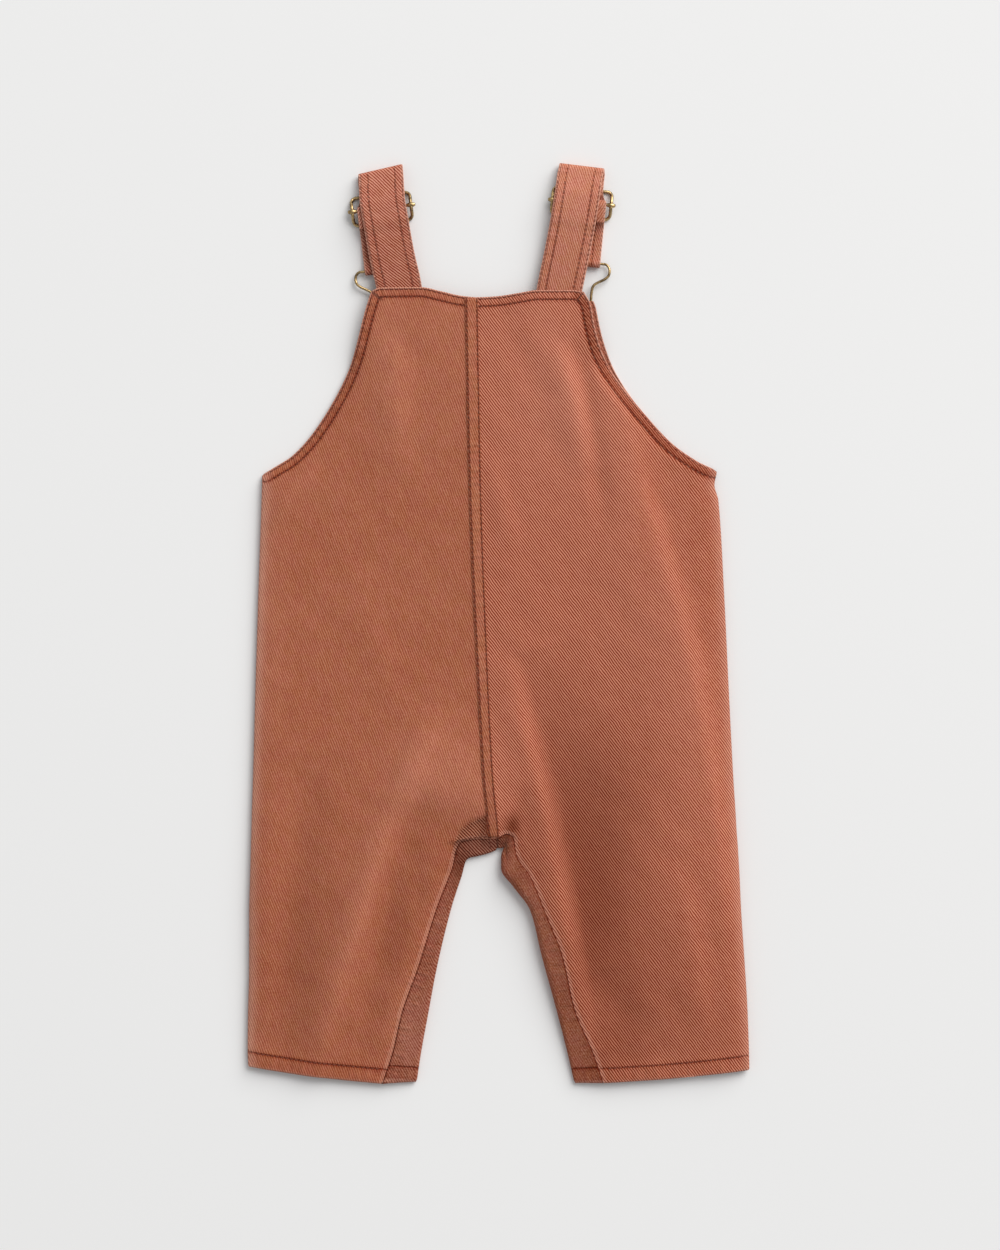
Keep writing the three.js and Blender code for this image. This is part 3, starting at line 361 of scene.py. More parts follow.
def over_strap_end(x, y):
    reach = STRAP_WIDTH / 2 + STRAP_END_ROOM
    return np.maximum(*[
        near_line(x, y, strap["back"][-2], strap["back"][-1], reach, STRAP_END_FADE)
        for strap in STRAPS.values()
    ])


def fold_relief(x, y):
    relief = np.zeros(np.shape(x))
    for start, end, bow, wide, lift in FOLDS:
        dx, dy = end[0] - start[0], end[1] - start[1]
        length = math.hypot(dx, dy)
        t = np.clip(((x - start[0]) * dx + (y - start[1]) * dy) / length**2, 0, 1)
        taper = np.sin(np.pi * t)
        across = ((x - start[0]) * dy - (y - start[1]) * dx) / length + bow * taper
        reach = np.where(across < 0, *wide)
        relief += lift * taper**FOLD_TAPER * np.exp(-((across / reach) ** 2))
    return relief


def in_tuck(x, y):
    """How deep in the crotch's tuck a place lies, 0 to 1."""
    tuck = CROTCH_TUCK
    bulge_edge = curve_through([-b for a, b in tuck["edge"]], [a for a, b in tuck["edge"]])
    past_edge = ease((x - bulge_edge(-y)) / tuck["edge_zone"] + 0.5)
    below_top = ease((tuck["edge"][0][1] - y) / tuck["top_zone"] + 0.5)
    return past_edge * ease((tuck["right"] - x) / tuck["right_zone"]) * below_top


def lie_height(x, y):
    """Height of the upper layer away from its edges."""
    rightness = ease((x - centre_x(-y)) / (2 * CENTRE_BLEND) + 0.5)
    lie = mix(lie_left(-y), lie_right(-y), rightness) + fold_relief(x, y)
    return mix(lie - CROTCH_TUCK["low"] * in_tuck(x, y), STRAP_END_LIE, over_strap_end(x, y))


def bib_height(x, y):
    return TABLE_LAYER + BIB_LIFT * over_hook(x, y)


def make_half(half, table):
    """The middle surfaces of a back half and a front half, each a function of level and across."""
    to_side = 1 if half == "right" else -1
    levels = np.array([-row[1] for row in table])
    of = {name: curve_through(levels, [row[k] for row in table]) for k, name in enumerate(HALF_COLUMNS)}
    top, hem, crotch = levels[0], levels[-1], levels[CROTCH_ROW[half]]
    dip = curve_through(*DIPS[half])

    def joined(level):
        return ease((level + UNDERARM[half] + 2) / JOIN_FADE)

    def hem_bow(level, t):
        return HEM_BOW * np.sin(np.pi * t) * ease((level - hem) / HEM_BOW_FADE + 1)

    def back(level, across):
        """across runs 0..1 over the shoulder, 1..2 over the middle, 2..3 beside the seam"""
        level, across = np.broadcast_arrays(np.asarray(level, float), np.asarray(across, float))
        side_x, side_y = of["side_x"](level), of["side_y"](level)
        seam_x, seam_y = of["seam_x"](level) + to_side * CENTRE_GAP / 2, of["seam_y"](level)
        length = np.hypot(seam_x - side_x, seam_y - side_y)
        inset = joined(level) * WALL / 2
        away = np.where(
            across <= 1,
            inset + SHOULDER * np.clip(across, 0, 1) ** 2,
            np.where(
                across <= 2,
                mix(inset + SHOULDER, length - INNER_ZONE, across - 1),
                length - INNER_ZONE * (3 - across) ** 2,
            ),
        )
        t = away / length
        x = mix(side_x, seam_x, t)
        top_x, top_y = mix(table[0][0], table[0][2], t), mix(table[0][1], table[0][3], t)
        near_seam = np.clip(1 - (length - away) / DIP_REACH, 0, 1) ** 2
        y = mix(side_y, seam_y + dip(level), t) - dip(level) * near_seam
        y = y + (neck_y(top_x) - top_y) * (1 - ease((level - top) / EDGE_FADE)) - hem_bow(level, t)
        free = mix(bib_height(x, y) + WALL + ARMHOLE_REST, STRAP_END_LIE, over_strap_end(x, y))
        edge = mix(free, SIDE_JOIN, joined(level))
        q = np.clip((away - inset) / SHOULDER, 0, 1)
        rise = mix(np.sin(q * np.pi / 2), np.sqrt(1 - (1 - q) ** 2), joined(level))
        near = np.clip((length - away) / INNER_ZONE, 0, 1)
        fall = of["drop"](level) * (1 - np.sin(near * np.pi / 2))
        return np.stack([x, y, edge + (lie_height(x, y) - edge) * rise - fall], -1)

    def outward(level):
        dx = of["fold_x"](level + 0.5) - of["fold_x"](level - 0.5)
        dy = of["fold_y"](level + 0.5) - of["fold_y"](level - 0.5)
        length = np.maximum(np.hypot(dx, dy), 1e-9)
        turned = ease((level - crotch) / OUTWARD_FADE)
        x, y = turned * to_side * dy / length, mix(-1, -to_side * dx / length, turned)
        return x / np.hypot(x, y), y / np.hypot(x, y)

    def front(level, across):
        """across runs 0..1 up the side seam, 1..2 on the table, 2..3 round the leg, 3..4 to the inseam"""
        level, across = np.broadcast_arrays(np.asarray(level, float), np.asarray(across, float))
        inset = joined(level) * WALL / 2
        side_x, side_y = of["side_x"](level) - to_side * (of["bib"](level) + inset), of["side_y"](level)
        roll = of["roll"](level)
        out_x, out_y = outward(level)
        set_back = roll + np.minimum(1, roll) * WALL / 2
        centre_gap = CENTRE_GAP / 2 + LEG_GAP * ease((level - crotch) / JOIN_FADE + 1)
        end_x = of["fold_x"](level) + to_side * centre_gap - out_x * set_back
        end_y = of["fold_y"](level) - out_y * set_back
        length = np.hypot(end_x - side_x, end_y - side_y)
        up_side = SIDE_TURN * np.clip(across, 0, 1) ** SIDE_EVEN
        away = np.where(across <= 1, up_side, mix(SIDE_TURN, length, np.clip(across - 1, 0, 1)))
        t = away / length
        x = mix(side_x, end_x, t)
        raised = BIB_TOP - mix(of["side_y"](-BIB_TOP), of["seam_y"](-BIB_TOP), t)
        y = mix(side_y, end_y, t) + raised * (1 - ease((level + BIB_TOP) / EDGE_FADE)) - hem_bow(level, t)
        q = np.clip(away / SIDE_TURN, 0, 1)
        turn_up = joined(level) * SIDE_TURN * (1 - np.sqrt(1 - (1 - q) ** 2))
        flat = np.stack([x, y, bib_height(x, y) + turn_up], -1)
        angle = np.clip(across - 2, 0, 1) * np.pi
        reach = roll * np.sin(angle)
        turn_z = TABLE_LAYER + roll * (1 - np.cos(angle))
        turn = np.stack([end_x + out_x * reach, end_y + out_y * reach, turn_z], -1)
        seam = back(level, 3.0)
        gap = np.maximum(np.hypot(seam[..., 0] - end_x, seam[..., 1] - end_y), 1e-9)
        start, over = CROTCH_ROOM_FADE
        opening = INSEAM_GAP + CROTCH_ROOM * (1 - ease((level - crotch - start) / over))
        t = np.clip(across - 3, 0, 1) * (1 - opening / gap)
        lap_z = mix(TABLE_LAYER + 2 * roll, seam[..., 2], np.maximum(t, 0) ** of["flange"](level))
        lap = np.stack([mix(end_x, seam[..., 0], t), mix(end_y, seam[..., 1], t), lap_z], -1)
        return np.where((across <= 2)[..., None], flat, np.where((across <= 3)[..., None], turn, lap))

    return {"levels": levels, "top": top, "hem": hem, "crotch": crotch, "back": back, "front": front}


HALVES = {"left": make_half("left", LEFT_HALF), "right": make_half("right", RIGHT_HALF)}
END_ZONE = 9


def levels_down(start, levels, step, end_step):
    """Levels for a mesh's rows, those of the table among them, closer together near the two ends."""
    marks = [start, *[level for level in levels if level > start + 1]]
    upper_end, lower_end = start + END_ZONE, marks[-1] - END_ZONE
    marks = sorted({*marks, upper_end, lower_end})
    rows = []
    for first, second in zip(marks, marks[1:]):
        near_end = second <= upper_end or first >= lower_end
        parts = math.ceil((second - first) / (end_step if near_end else step))
        rows.extend(first + (second - first) * k / parts for k in range(parts))
    return np.array([*rows, marks[-1]])


def surface_normals(surface, rows, columns, last):
    """Unit normals of a middle surface, from small steps along it. last is where its columns end."""
    step = 0.02
    r, c = np.meshgrid(rows, columns, indexing="ij")
    along = surface(np.minimum(r + step, rows[-1]), c) - surface(np.maximum(r - step, rows[0]), c)
    over = surface(r, np.minimum(c + step / 4, last)) - surface(r, np.maximum(c - step / 4, 0))
    normal = np.cross(over, along)
    return normal / np.maximum(np.linalg.norm(normal, axis=-1, keepdims=True), 1e-12)


STITCH = 2.9
ROWS_APART = 200 * STITCH  # between the places along two edges, so that their stitches differ
EDGE_STEP = 0.7
AT_ONCE = 4000  # places measured in one go


def edge_line(points):
    """An evened line: its points, its directions inwards (left of the way), and how far along each is."""
    points = np.asarray(points)[..., :2]
    gone = np.concatenate([[0], np.cumsum(np.hypot(*np.diff(points, axis=0).T))])
    places = np.arange(0, gone[-1], EDGE_STEP)
    line = np.stack([np.interp(places, gone, points[:, k]) for k in (0, 1)], -1)
    way = np.gradient(line, axis=0)
    way /= np.hypot(*way.T)[:, None]
    return {"line": line, "inward": np.stack([-way[:, 1], way[:, 0]], -1), "along": places}


def from_edge(x, y, edges, reach):
    """For each place: how far it is from the nearest edge line, how far along, and 1 within reach."""
    place = np.stack([np.ravel(x), np.ravel(y)], -1)
    away, along = np.full(len(place), 1e3), np.zeros(len(place))
    for number, edge in enumerate(edges):
        low, high = edge["line"].min(0) - reach, edge["line"].max(0) + reach
        near = np.flatnonzero(((place > low) & (place < high)).all(1))
        for some in np.array_split(near, max(1, len(near) // AT_ONCE)):
            gap = place[some, None, :] - edge["line"][None]
            distance = np.hypot(gap[..., 0], gap[..., 1])
            k = distance.argmin(1)
            offset = gap[np.arange(len(some)), k]
            inward = edge["inward"][k]
            square = offset[:, 0] * inward[:, 0] + offset[:, 1] * inward[:, 1]
            forth = offset[:, 0] * inward[:, 1] - offset[:, 1] * inward[:, 0]
            best = distance[np.arange(len(some)), k]
            closer = best < away[some]
            best = np.where(best < 2, np.maximum(square, 0), best)
            away[some] = np.where(closer, best, away[some])
            along[some] = np.where(closer, edge["along"][k] + forth + ROWS_APART * number, along[some])
    on = 1 - ease((away - reach + 2) / 2)
    return np.stack([np.minimum(away, reach + 1), along, on], -1).reshape(*np.shape(x), 3)


def cloth_shell(name, points, normals, outer, inner, material, fields, present=None):
    """A closed wall of cloth round a grid of points. fields are vectors that its corners carry."""
    high, wide = points.shape[:2]
    present = np.ones((high - 1, wide - 1), bool) if present is None else present
    faces_out = points + normals * np.asarray(outer)[..., None]
    faces_in = points - normals * np.asarray(inner)[..., None]
    number = np.arange(high * wide).reshape(high, wide)
    a, b, c, d = number[:-1, :-1], number[:-1, 1:], number[1:, 1:], number[1:, :-1]
    quads = np.stack([a, b, c, d], -1)[present]
    ring = [np.stack([quads[:, k], quads[:, (k + 1) % 4]], -1) for k in range(4)]
    edges = np.concatenate(ring)
    size = high * wide
    code, back_code = edges[:, 0] * size + edges[:, 1], edges[:, 1] * size + edges[:, 0]
    rim = edges[~np.isin(code, back_code)]
    rim_faces = np.stack([rim[:, 0], rim[:, 0] + size, rim[:, 1] + size, rim[:, 1]], -1)
    faces = np.concatenate([quads, quads[:, ::-1] + size, rim_faces])
    vertices = np.concatenate([faces_out.reshape(-1, 3), faces_in.reshape(-1, 3)])
    vertices[:, 2] = np.maximum(vertices[:, 2], -SHIFT[2])  # nothing sinks into the table
    used = np.unique(faces)
    renumber = np.zeros(2 * size, int)
    renumber[used] = np.arange(len(used))
    vertices, faces = vertices[used], renumber[faces]
    corner = vertices[faces]
    solid = sum((corner[:, 0] * np.cross(corner[:, k], corner[:, k + 1])).sum() for k in (1, 2))
    piece = mesh_piece(name, vertices + SHIFT, faces if solid > 0 else faces[:, ::-1], material)
    for label, field in fields.items():
        flat = np.concatenate([field.reshape(-1, 3)] * 2)[used]
        layer = piece.data.attributes.new(label, "FLOAT_VECTOR", "POINT")
        layer.data.foreach_set("vector", flat.astype(np.float32).ravel())
    return piece


# Soft oval spots, paler or darker: place, reach sideways and along, and how much. Some are dye that
# came out unevenly, and the side folds were rubbed pale in the wash; most are painted light and
# shade: paler on the upper right back, darker in the folds' hollows, in the pocket at the crotch and
# on the leg's inner strip in shadow.
DYE_AND_PAINTED_LIGHT_SPOTS = [
    ((40, 190), (150, 100), 0.07), ((34, 130), (30, 50), 0.1), ((72, -96), (34, 40), -0.1),
    ((60, -168), (22, 60), -0.16), ((90, -215), (60, 60), -0.08), ((-118, -220), (34, 60), -0.06),
    ((-52, -190), (12, 50), -0.05), ((8.5, -119.5), (4.6, 6), -0.4), ((6, -126), (5, 4), -0.16),
    ((22, -100), (12, 50), -0.06), ((-22.5, -147), (7, 13), -0.32), ((66, -257), (20, 16), -0.15),
    ((46, -208), (12, 26), -0.07), ((-54, -246), (12, 40), 0.1), ((10, -132), (12, 20), -0.06),
    ((-34, -146), (9, 26), -0.05), ((-40, -84), (36, 22), 0.04), ((12, -150), (6, 11), -0.12),
    ((-137, 20), (9, 90), 0.07), ((108, -238), (50, 22), -0.05), ((34, -134), (18, 34), -0.08),
]
# painted shade: how much darker the cloth in the crotch's tuck is made
TUCK_PAINTED_SHADE = 0.16
FRONT_TUCK = {"left": -27, "right": 4, "low": -148, "left_zone": 6, "right_zone": 4, "low_zone": 8}


def spots(table, x, y):
    return sum(
        by * np.exp(-(((x - at[0]) / reach[0]) ** 2) - ((y - at[1]) / reach[1]) ** 2)
        for at, reach, by in table
    )


def front_dye_and_light(points):
    """On each corner: how much paler or darker the colour is, by dye spots and by painted light and
    shade, with painted shade in the tuck, how much it is rubbed, and how deep it is tucked, where the
    weave stands out as painted raking light.
    """
    x, y = points[..., 0], points[..., 1]
    zone = FRONT_TUCK
    tuck = ease((x - zone["left"]) / zone["left_zone"]) * ease((zone["right"] - x) / zone["right_zone"])
    tuck = tuck * ease((y - zone["low"]) / zone["low_zone"])
    return np.stack([spots(DYE_AND_PAINTED_LIGHT_SPOTS, x, y) - TUCK_PAINTED_SHADE * tuck, 0 * x, tuck], -1)


def rounded(edge_distance, half, round_over):
    """Half thickness of a wall whose free edge is rounded off."""
    k = np.clip(1 - edge_distance / round_over, 0, 1)
    return half * np.sqrt(np.maximum(1 - k * k, 0.02))


# The shift that puts these sizes into the frame's place.
low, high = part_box("bib_button_left")
SHIFT = np.array([*(np.array((low + high) / 2)[:2] / MM - button_at(STRAPS["left"])), low.z / MM])


class Value:
    """A number, place or colour in a node tree, so that the dye and the weave are written as sums."""

    def __init__(self, tree, socket):
        self.tree, self.socket = tree, socket

    def sum_node(self, kind, operation, others):
        return node(self.tree, kind, dict(enumerate([self, *others])), operation=operation)

    def math(self, operation, *others):
        return Value(self.tree, self.sum_node("Math", operation, others).outputs[0])

    def vector(self, operation, *others):
        return Value(self.tree, self.sum_node("VectorMath", operation, others).outputs[0])

    def length(self):
        return Value(self.tree, self.sum_node("VectorMath", "LENGTH", []).outputs["Value"])

    def parts(self):
        return [Value(self.tree, part) for part in node(self.tree, "SeparateXYZ", {0: self}).outputs]

    def clamped(self):
        return Value(self.tree, node(self.tree, "Clamp", {0: self}).outputs[0])

    def __add__(self, other):
        return self.math("ADD", other)

    def __sub__(self, other):
        return self.math("SUBTRACT", other)

    def __mul__(self, other):
        return self.math("MULTIPLY", other)

    def __truediv__(self, other):
        return self.math("DIVIDE", other)


def fade(value, start, end, low=0.0, high=1.0):
    """A soft step from low to high as the value goes from start to end."""
    ends = {"Value": value, "From Min": start, "From Max": end, "To Min": low, "To Max": high}
    made = node(value.tree, "MapRange", ends, interpolation_type="SMOOTHSTEP")
    return Value(value.tree, made.outputs[0])


def noise(place, scale, detail=2.0, roughness=0.5):
    size = {"Vector": place, "Scale": scale, "Detail": detail, "Roughness": roughness}
    return Value(place.tree, node(place.tree, "TexNoise", size).outputs[0])


def blend(share, a, b):
    colours = {0: share, 6: a, 7: b}
    return Value(share.tree, node(share.tree, "Mix", colours, data_type="RGBA").outputs[2])


def between(share, a, b):
    """The same as blend, for numbers."""
    return Value(share.tree, node(share.tree, "Mix", {0: share, 2: a, 3: b}).outputs[0])


def joined_place(x, y):
    return Value(x.tree, node(x.tree, "CombineXYZ", {0: x, 1: y}).outputs[0])


def field(tree, name):
    return Value(tree, node(tree, "Attribute", attribute_name=name).outputs["Vector"])


def object_place(tree):
    return Value(tree, node(tree, "TexCoord").outputs["Object"])


def new_group(name, inputs):
    """A node group and its inputs, each with its start value or the name of its kind."""
    group = bpy.data.node_groups.new(name, "ShaderNodeTree")
    for label, value in inputs.items():
        kind = value if isinstance(value, str) else "Float"
        socket = group.interface.new_socket(label, in_out="INPUT", socket_type="NodeSocket" + kind)
        if kind == "Float":
            socket.default_value = value
    given = group.nodes.new("NodeGroupInput").outputs
    return group, [Value(group, given[label]) for label in inputs]


def with_outputs(group, **outputs):
    for label in outputs:
        kind = "Color" if label == "Color" else "Float"
        group.interface.new_socket(label, in_out="OUTPUT", socket_type="NodeSocket" + kind)
    made = group.nodes.new("NodeGroupOutput").inputs
    for label, value in outputs.items():
        group.links.new(value.socket, made[label])
    return group


def bump_under(tree, surface, height, distance, strength):
    bump = node(tree, "Bump", {"Height": height, "Distance": distance, "Strength": strength})
    tree.links.new(bump.outputs[0], surface.inputs["Normal"])


def place_group(tree, group, **inputs):
    """A group in a material's tree: its outputs by their names."""
    inputs = {label.replace("_", " "): value for label, value in inputs.items()}
    made = node(tree, "Group", inputs, node_tree=group)
    return {output.name: Value(tree, output) for output in made.outputs}


RIDGE_SHARP = 0.8
FLOAT = {"every": 1 / 0.86, "stagger": 0.38, "waver": 2.6, "dip": 0.07}  # in ridges
SLUB_LENGTH = 0.11


def twill_weave_group():
    """The twill's diagonal ridges, with the yarns' short floats on them and some slubby yarns."""
    group, (cloth, turn, pitch, waver, slubs) = new_group(
        "twill_weave", {"Cloth": "Vector", "Turn": 0.6, "Pitch": 1.3, "Waver": 0.5, "Slubs": 0.5}
    )
    turned = node(group, "VectorRotate", {"Vector": cloth, "Angle": turn}, rotation_type="Z_AXIS")
    over, along = Value(group, turned.outputs[0]).parts()[:2]
    lines = ((noise(cloth, 0.16) - 0.5) * waver + over) / pitch
    ridge = (lines * math.tau).math("COSINE") * 0.5 + 0.5
    number = (lines + 0.5).math("FLOOR")
    floats = noise(cloth, 0.45, 1.0) * FLOAT["waver"] + (number * FLOAT["stagger"] + along / pitch)
    floats = (floats * (math.tau / FLOAT["every"])).math("COSINE") * FLOAT["dip"] + (1 - FLOAT["dip"])
    slub = noise(joined_place(number * 0.73, along * SLUB_LENGTH), 1.0, 1.0) - 0.5
    weave = slub * slubs + ridge.math("POWER", RIDGE_SHARP) * floats
    return with_outputs(group, Height=weave, Weave=weave.clamped())


GROOVE = {"from": 0.1, "to": 0.9, "depth": 0.28, "shade": 0.3}
HOLE = {"from": 0.2, "to": 0.62, "depth": 0.35, "shade": 0.28}
RIB = {"along": 0.2, "inwards": 0.05, "size": 1.3, "height": 5.0}
TURNED_IN_SHADE = 0.4
RUBBED_TO = 2.0


def sewn_edge_group():
    """Rows of stitches pulled into the cloth, with their needle holes, the ribs that the seam puckers
    into, and the rubbed edge. Its Shade is painted shade in the rows' grooves, the needle holes, around
    the second row and on the turned-in band, and painted light and shade on the ribs. Edge is the
    distance in from the edge, the distance along it, and 1 where there is such an edge."""
    group, (edge, first_row, second_row, stitch, ribs, rib_reach, rubbing, row_shade, row_depth) = new_group(
        "sewn_edge",
        {"Edge": "Vector", "First Row": 1.2, "Second Row": 5.7, "Stitch": 2.9, "Ribs": 0.3, "Rib Reach": 8.0,
         "Rubbing": 0.9, "Row Shade": 0.1, "Row Depth": 1.0},
    )
    inside, along, there = edge.parts()
    to_second = (inside - second_row).math("ABSOLUTE")
    to_row = (inside - first_row).math("ABSOLUTE").math("MINIMUM", to_second)
    groove = fade(to_row, GROOVE["from"], GROOVE["to"], 1.0, 0.0)
    from_middle = ((along / stitch).math("FRACT") - 0.5).math("ABSOLUTE")
    to_hole = joined_place((from_middle * -1.0 + 0.5) * stitch, to_row).length()
    hole = fade(to_hole, HOLE["from"], HOLE["to"], 1.0, 0.0)
    band = fade(inside, rib_reach * 0.55, rib_reach, 1.0, 0.0) * there
    pucker = joined_place(along * RIB["along"], inside * RIB["inwards"])
    rib = (noise(pucker, RIB["size"], 1.5) - 0.5) * band * ribs
    height = hole * -HOLE["depth"] + (groove * -GROOVE["depth"] + rib * RIB["height"])
    turned_in = fade(inside - second_row, 0.0, 1.0, 1.0, 0.0) * TURNED_IN_SHADE
    near_row = fade(to_second, 0.3, 2.6, 1.0, 0.0)
    pulled = (hole * HOLE["shade"] + groove * GROOVE["shade"]) * row_depth
    shade = pulled + (near_row + turned_in) * row_shade - rib
    rub = fade(inside, 0.3, RUBBED_TO, 1.0, 0.0) * rubbing
    return with_outputs(group, Height=height * there, Shade=shade * there, Rub=rub * there)


BROAD_CLOUDS = 0.022
FINE_CLOUDS = 0.3
SPECKS = 0.9
COOLER = (1.01, 0.97, 1.08)
WARMER = (0.99, 1.02, 0.93)
PALER_BY = (0.6, 0.3, 0.2)
DEEPER_BY = (1.25, 1.5, 1.65)


def dye_and_painted_shade_group():
    """Dye that is deep between the yarns, pale on them, clouded over the cloth, and pinker where the
    edges were rubbed in the wash. Painted shade darkens it, and spots of dye, painted light and painted
    shade make it paler or darker."""
    group, (deep, body, pale, rubbed, cloth, weave, contrast, clouds, shade, dye_and_light, rub) = new_group(
        "dye_and_painted_shade",
        {"Deep": "Color", "Body": "Color", "Pale": "Color", "Rubbed": "Color", "Cloth": "Vector",
         "Weave": 0.5, "Contrast": 0.6, "Clouds": 0.3, "Shade": 0.0, "Wash": 0.0, "Rub": 0.0},
    )
    broad = noise(cloth, BROAD_CLOUDS, 3.0, 0.6) - 0.5
    fine = noise(cloth, FINE_CLOUDS, 2.0, 0.6) - 0.5
    clouded = (noise(cloth, SPECKS, 1.0) - 0.5) * 3.0 + (fine * 0.25 + broad)
    tone = clouded * clouds + (weave - 0.5) * contrast + 0.5 - shade
    cast = fade(noise(cloth, 0.11, 2.0, 0.6), 0.35, 0.65)
    cooler, warmer = body.vector("MULTIPLY", COOLER), body.vector("MULTIPLY", WARMER)
    colour = blend((tone * 2.0).clamped(), deep, blend(cast, cooler, warmer))
    colour = blend((tone * 2.0 + -1.0).clamped(), colour, pale)
    darker, paler = dye_and_light.math("MINIMUM", 0.0), dye_and_light.math("MAXIMUM", 0.0)
    faded = paler.vector("MULTIPLY_ADD", PALER_BY, (1, 1, 1))
    faded = darker.vector("MULTIPLY_ADD", DEEPER_BY, faded)
    rubbing = (paler * 1.6 + rub) * fade(tone, 0.1, 0.7, 0.35, 1.0)
    return with_outputs(group, Color=blend(rubbing, colour.vector("MULTIPLY", faded), rubbed))


twill_weave, sewn_edge, dye_and_painted_shade = twill_weave_group(), sewn_edge_group(), dye_and_painted_shade_group()
RUBBED_DYE = (0.66, 0.33, 0.24, 1)
PALE_YARN = (1.52, 2.3, 2.9, 1)
BETWEEN_YARNS = (0.47, 0.18, 0.09, 1)
SHEEN_TINT = (1, 0.75, 0.65, 1)
WEAVE = {"pitch": 1.36, "waver": 0.9}
TUCKED = {"pitch": 1.45, "taller": 2.5, "stronger": 1.8}  # the cloth is drawn up where it is tucked; its stronger weave contrast there is painted raking light


def dyed(colour, by):
    return tuple(part * factor for part, factor in zip(colour, by))


def twill_cloth(name, edges, body, line, contrast, slubs=0.5, depth=0.14, clouds=0.16, tucked=None):
    """Dyed twill. line is the slope of its diagonal in degrees, tucked the slope in the tuck."""
    material, tree, surface = new_material(name, Sheen_Weight=0.3, Sheen_Roughness=0.3, Sheen_Tint=SHEEN_TINT)
    surface.inputs["Specular IOR Level"].default_value = 0.1
    cloth = field(tree, "cloth")
    dye_and_light_tone, rub, stands_out = field(tree, "dye_and_light").parts()
    weave = place_group(
        tree, twill_weave, Cloth=cloth, Turn=math.radians(90 - line), Pitch=WEAVE["pitch"],
        Waver=WEAVE["waver"], Slubs=slubs,
    )
    ridges, woven = weave["Height"], weave["Weave"]
    if tucked is not None:
        drawn_up = place_group(
            tree, twill_weave, Cloth=object_place(tree).vector("MULTIPLY", (1 / MM, 1 / MM, 1 / MM)),
            Turn=math.radians(90 - tucked), Pitch=TUCKED["pitch"], Waver=WEAVE["waver"], Slubs=slubs,
        )
        ridges = between(stands_out, ridges, drawn_up["Height"] * TUCKED["taller"])
        stronger = drawn_up["Weave"] * TUCKED["stronger"] + (1 - TUCKED["stronger"]) / 2
        woven = between(stands_out, woven, stronger)
    height, shade = ridges * depth, None
    for edge in edges:
        sewn = place_group(
            tree, sewn_edge, Edge=field(tree, edge["field"]), First_Row=edge["rows"][0],
            Second_Row=edge["rows"][1], Stitch=STITCH, Ribs=edge["ribs"], Rib_Reach=edge["reach"],
            Rubbing=edge["rubbing"], Row_Shade=edge.get("shade", 0.14), Row_Depth=edge.get("depth", 1.0),
        )
        height, rub = height + sewn["Height"], rub + sewn["Rub"]
        shade = sewn["Shade"] + shade if shade else sewn["Shade"]
    # the seams' shade and the spots reach the colour here as painted shade and light mixed with the dye; the
    # tuck's stronger weave contrast is painted raking light
    dye = place_group(
        tree, dye_and_painted_shade, Deep=dyed(body, BETWEEN_YARNS), Body=body, Pale=dyed(body, PALE_YARN),
        Rubbed=RUBBED_DYE, Cloth=cloth, Weave=woven, Contrast=stands_out * 1.6 + contrast, Clouds=clouds,
        Shade=shade, Wash=dye_and_light_tone, Rub=rub,
    )
    tree.links.new(dye["Color"].socket, surface.inputs["Base Color"])
    tree.links.new(fade(weave["Weave"], 0.0, 1.0, 0.96, 0.82).socket, surface.inputs["Roughness"])
    bump_under(tree, surface, height, MM, 1.0)
    return material


FRONT_STEPS = (2.2, 1.2)  # between the mesh's rows, in the middle and near its two ends
FRONT_ZONES = {"rim": 10, "hem": 12, "inseam": 10}  # how far in from each edge its seam is marked
ARMHOLE_ROWS = (1.2, 5.7)
HEM_ROWS = (8.8, 8.8)  # one row
TUCKED_LINE = 132
FRONT_TWILL = {
    "left": {"body": (0.30, 0.09, 0.05, 1), "line": 118, "contrast": 0.6, "tucked": TUCKED_LINE},
    "right": {"body": (0.335, 0.106, 0.058, 1), "line": 121, "contrast": 0.35},
}
FRONT_FLAT = [0, 0.15, 0.3, 0.45, 0.65, 0.85, *np.linspace(1, 1.06, 4), *np.linspace(1.1, 1.9, 22), 1.96, 2]
FRONT_TURN = [*np.linspace(2, 3, 12)[1:], *np.linspace(3, 3.9, 12)[1:], 3.94, 3.97, 4]
FRONT_COLUMNS = np.array([*FRONT_FLAT, *FRONT_TURN])
RIM_SEAM = {"field": "rim", "rows": ARMHOLE_ROWS, "ribs": 0.3, "reach": 8.5, "rubbing": 0.85}
RIM_SHADE = {"left": 0.12, "right": 0.22}
HEM_SEAM = {"field": "hem", "rows": HEM_ROWS, "ribs": 0.22, "reach": 11.5, "rubbing": 0.5}
EDGE_SEAMS = {half: [{**RIM_SEAM, "shade": shade}, HEM_SEAM] for half, shade in RIM_SHADE.items()}
FRONT_INSEAM = {
    "field": "inseam", "rows": (0.25, 0.25), "ribs": 0.24, "reach": 11.0, "rubbing": 0.0, "shade": 0.08,
}
WRAP_SQUEEZE = 0.3  # how far the weave shifts for each millimetre that the wrap rises
CLOTH_ROUND = 0.6


def walk(points, half):
    """The same way round on both halves, with the cloth on the left."""
    return edge_line(points[::-1] if half == "right" else points)


def marked_edges(points, edges, zones):
    x, y = points[..., 0], points[..., 1]
    return {name: from_edge(x, y, lines, zones[name]) for name, lines in edges.items()}


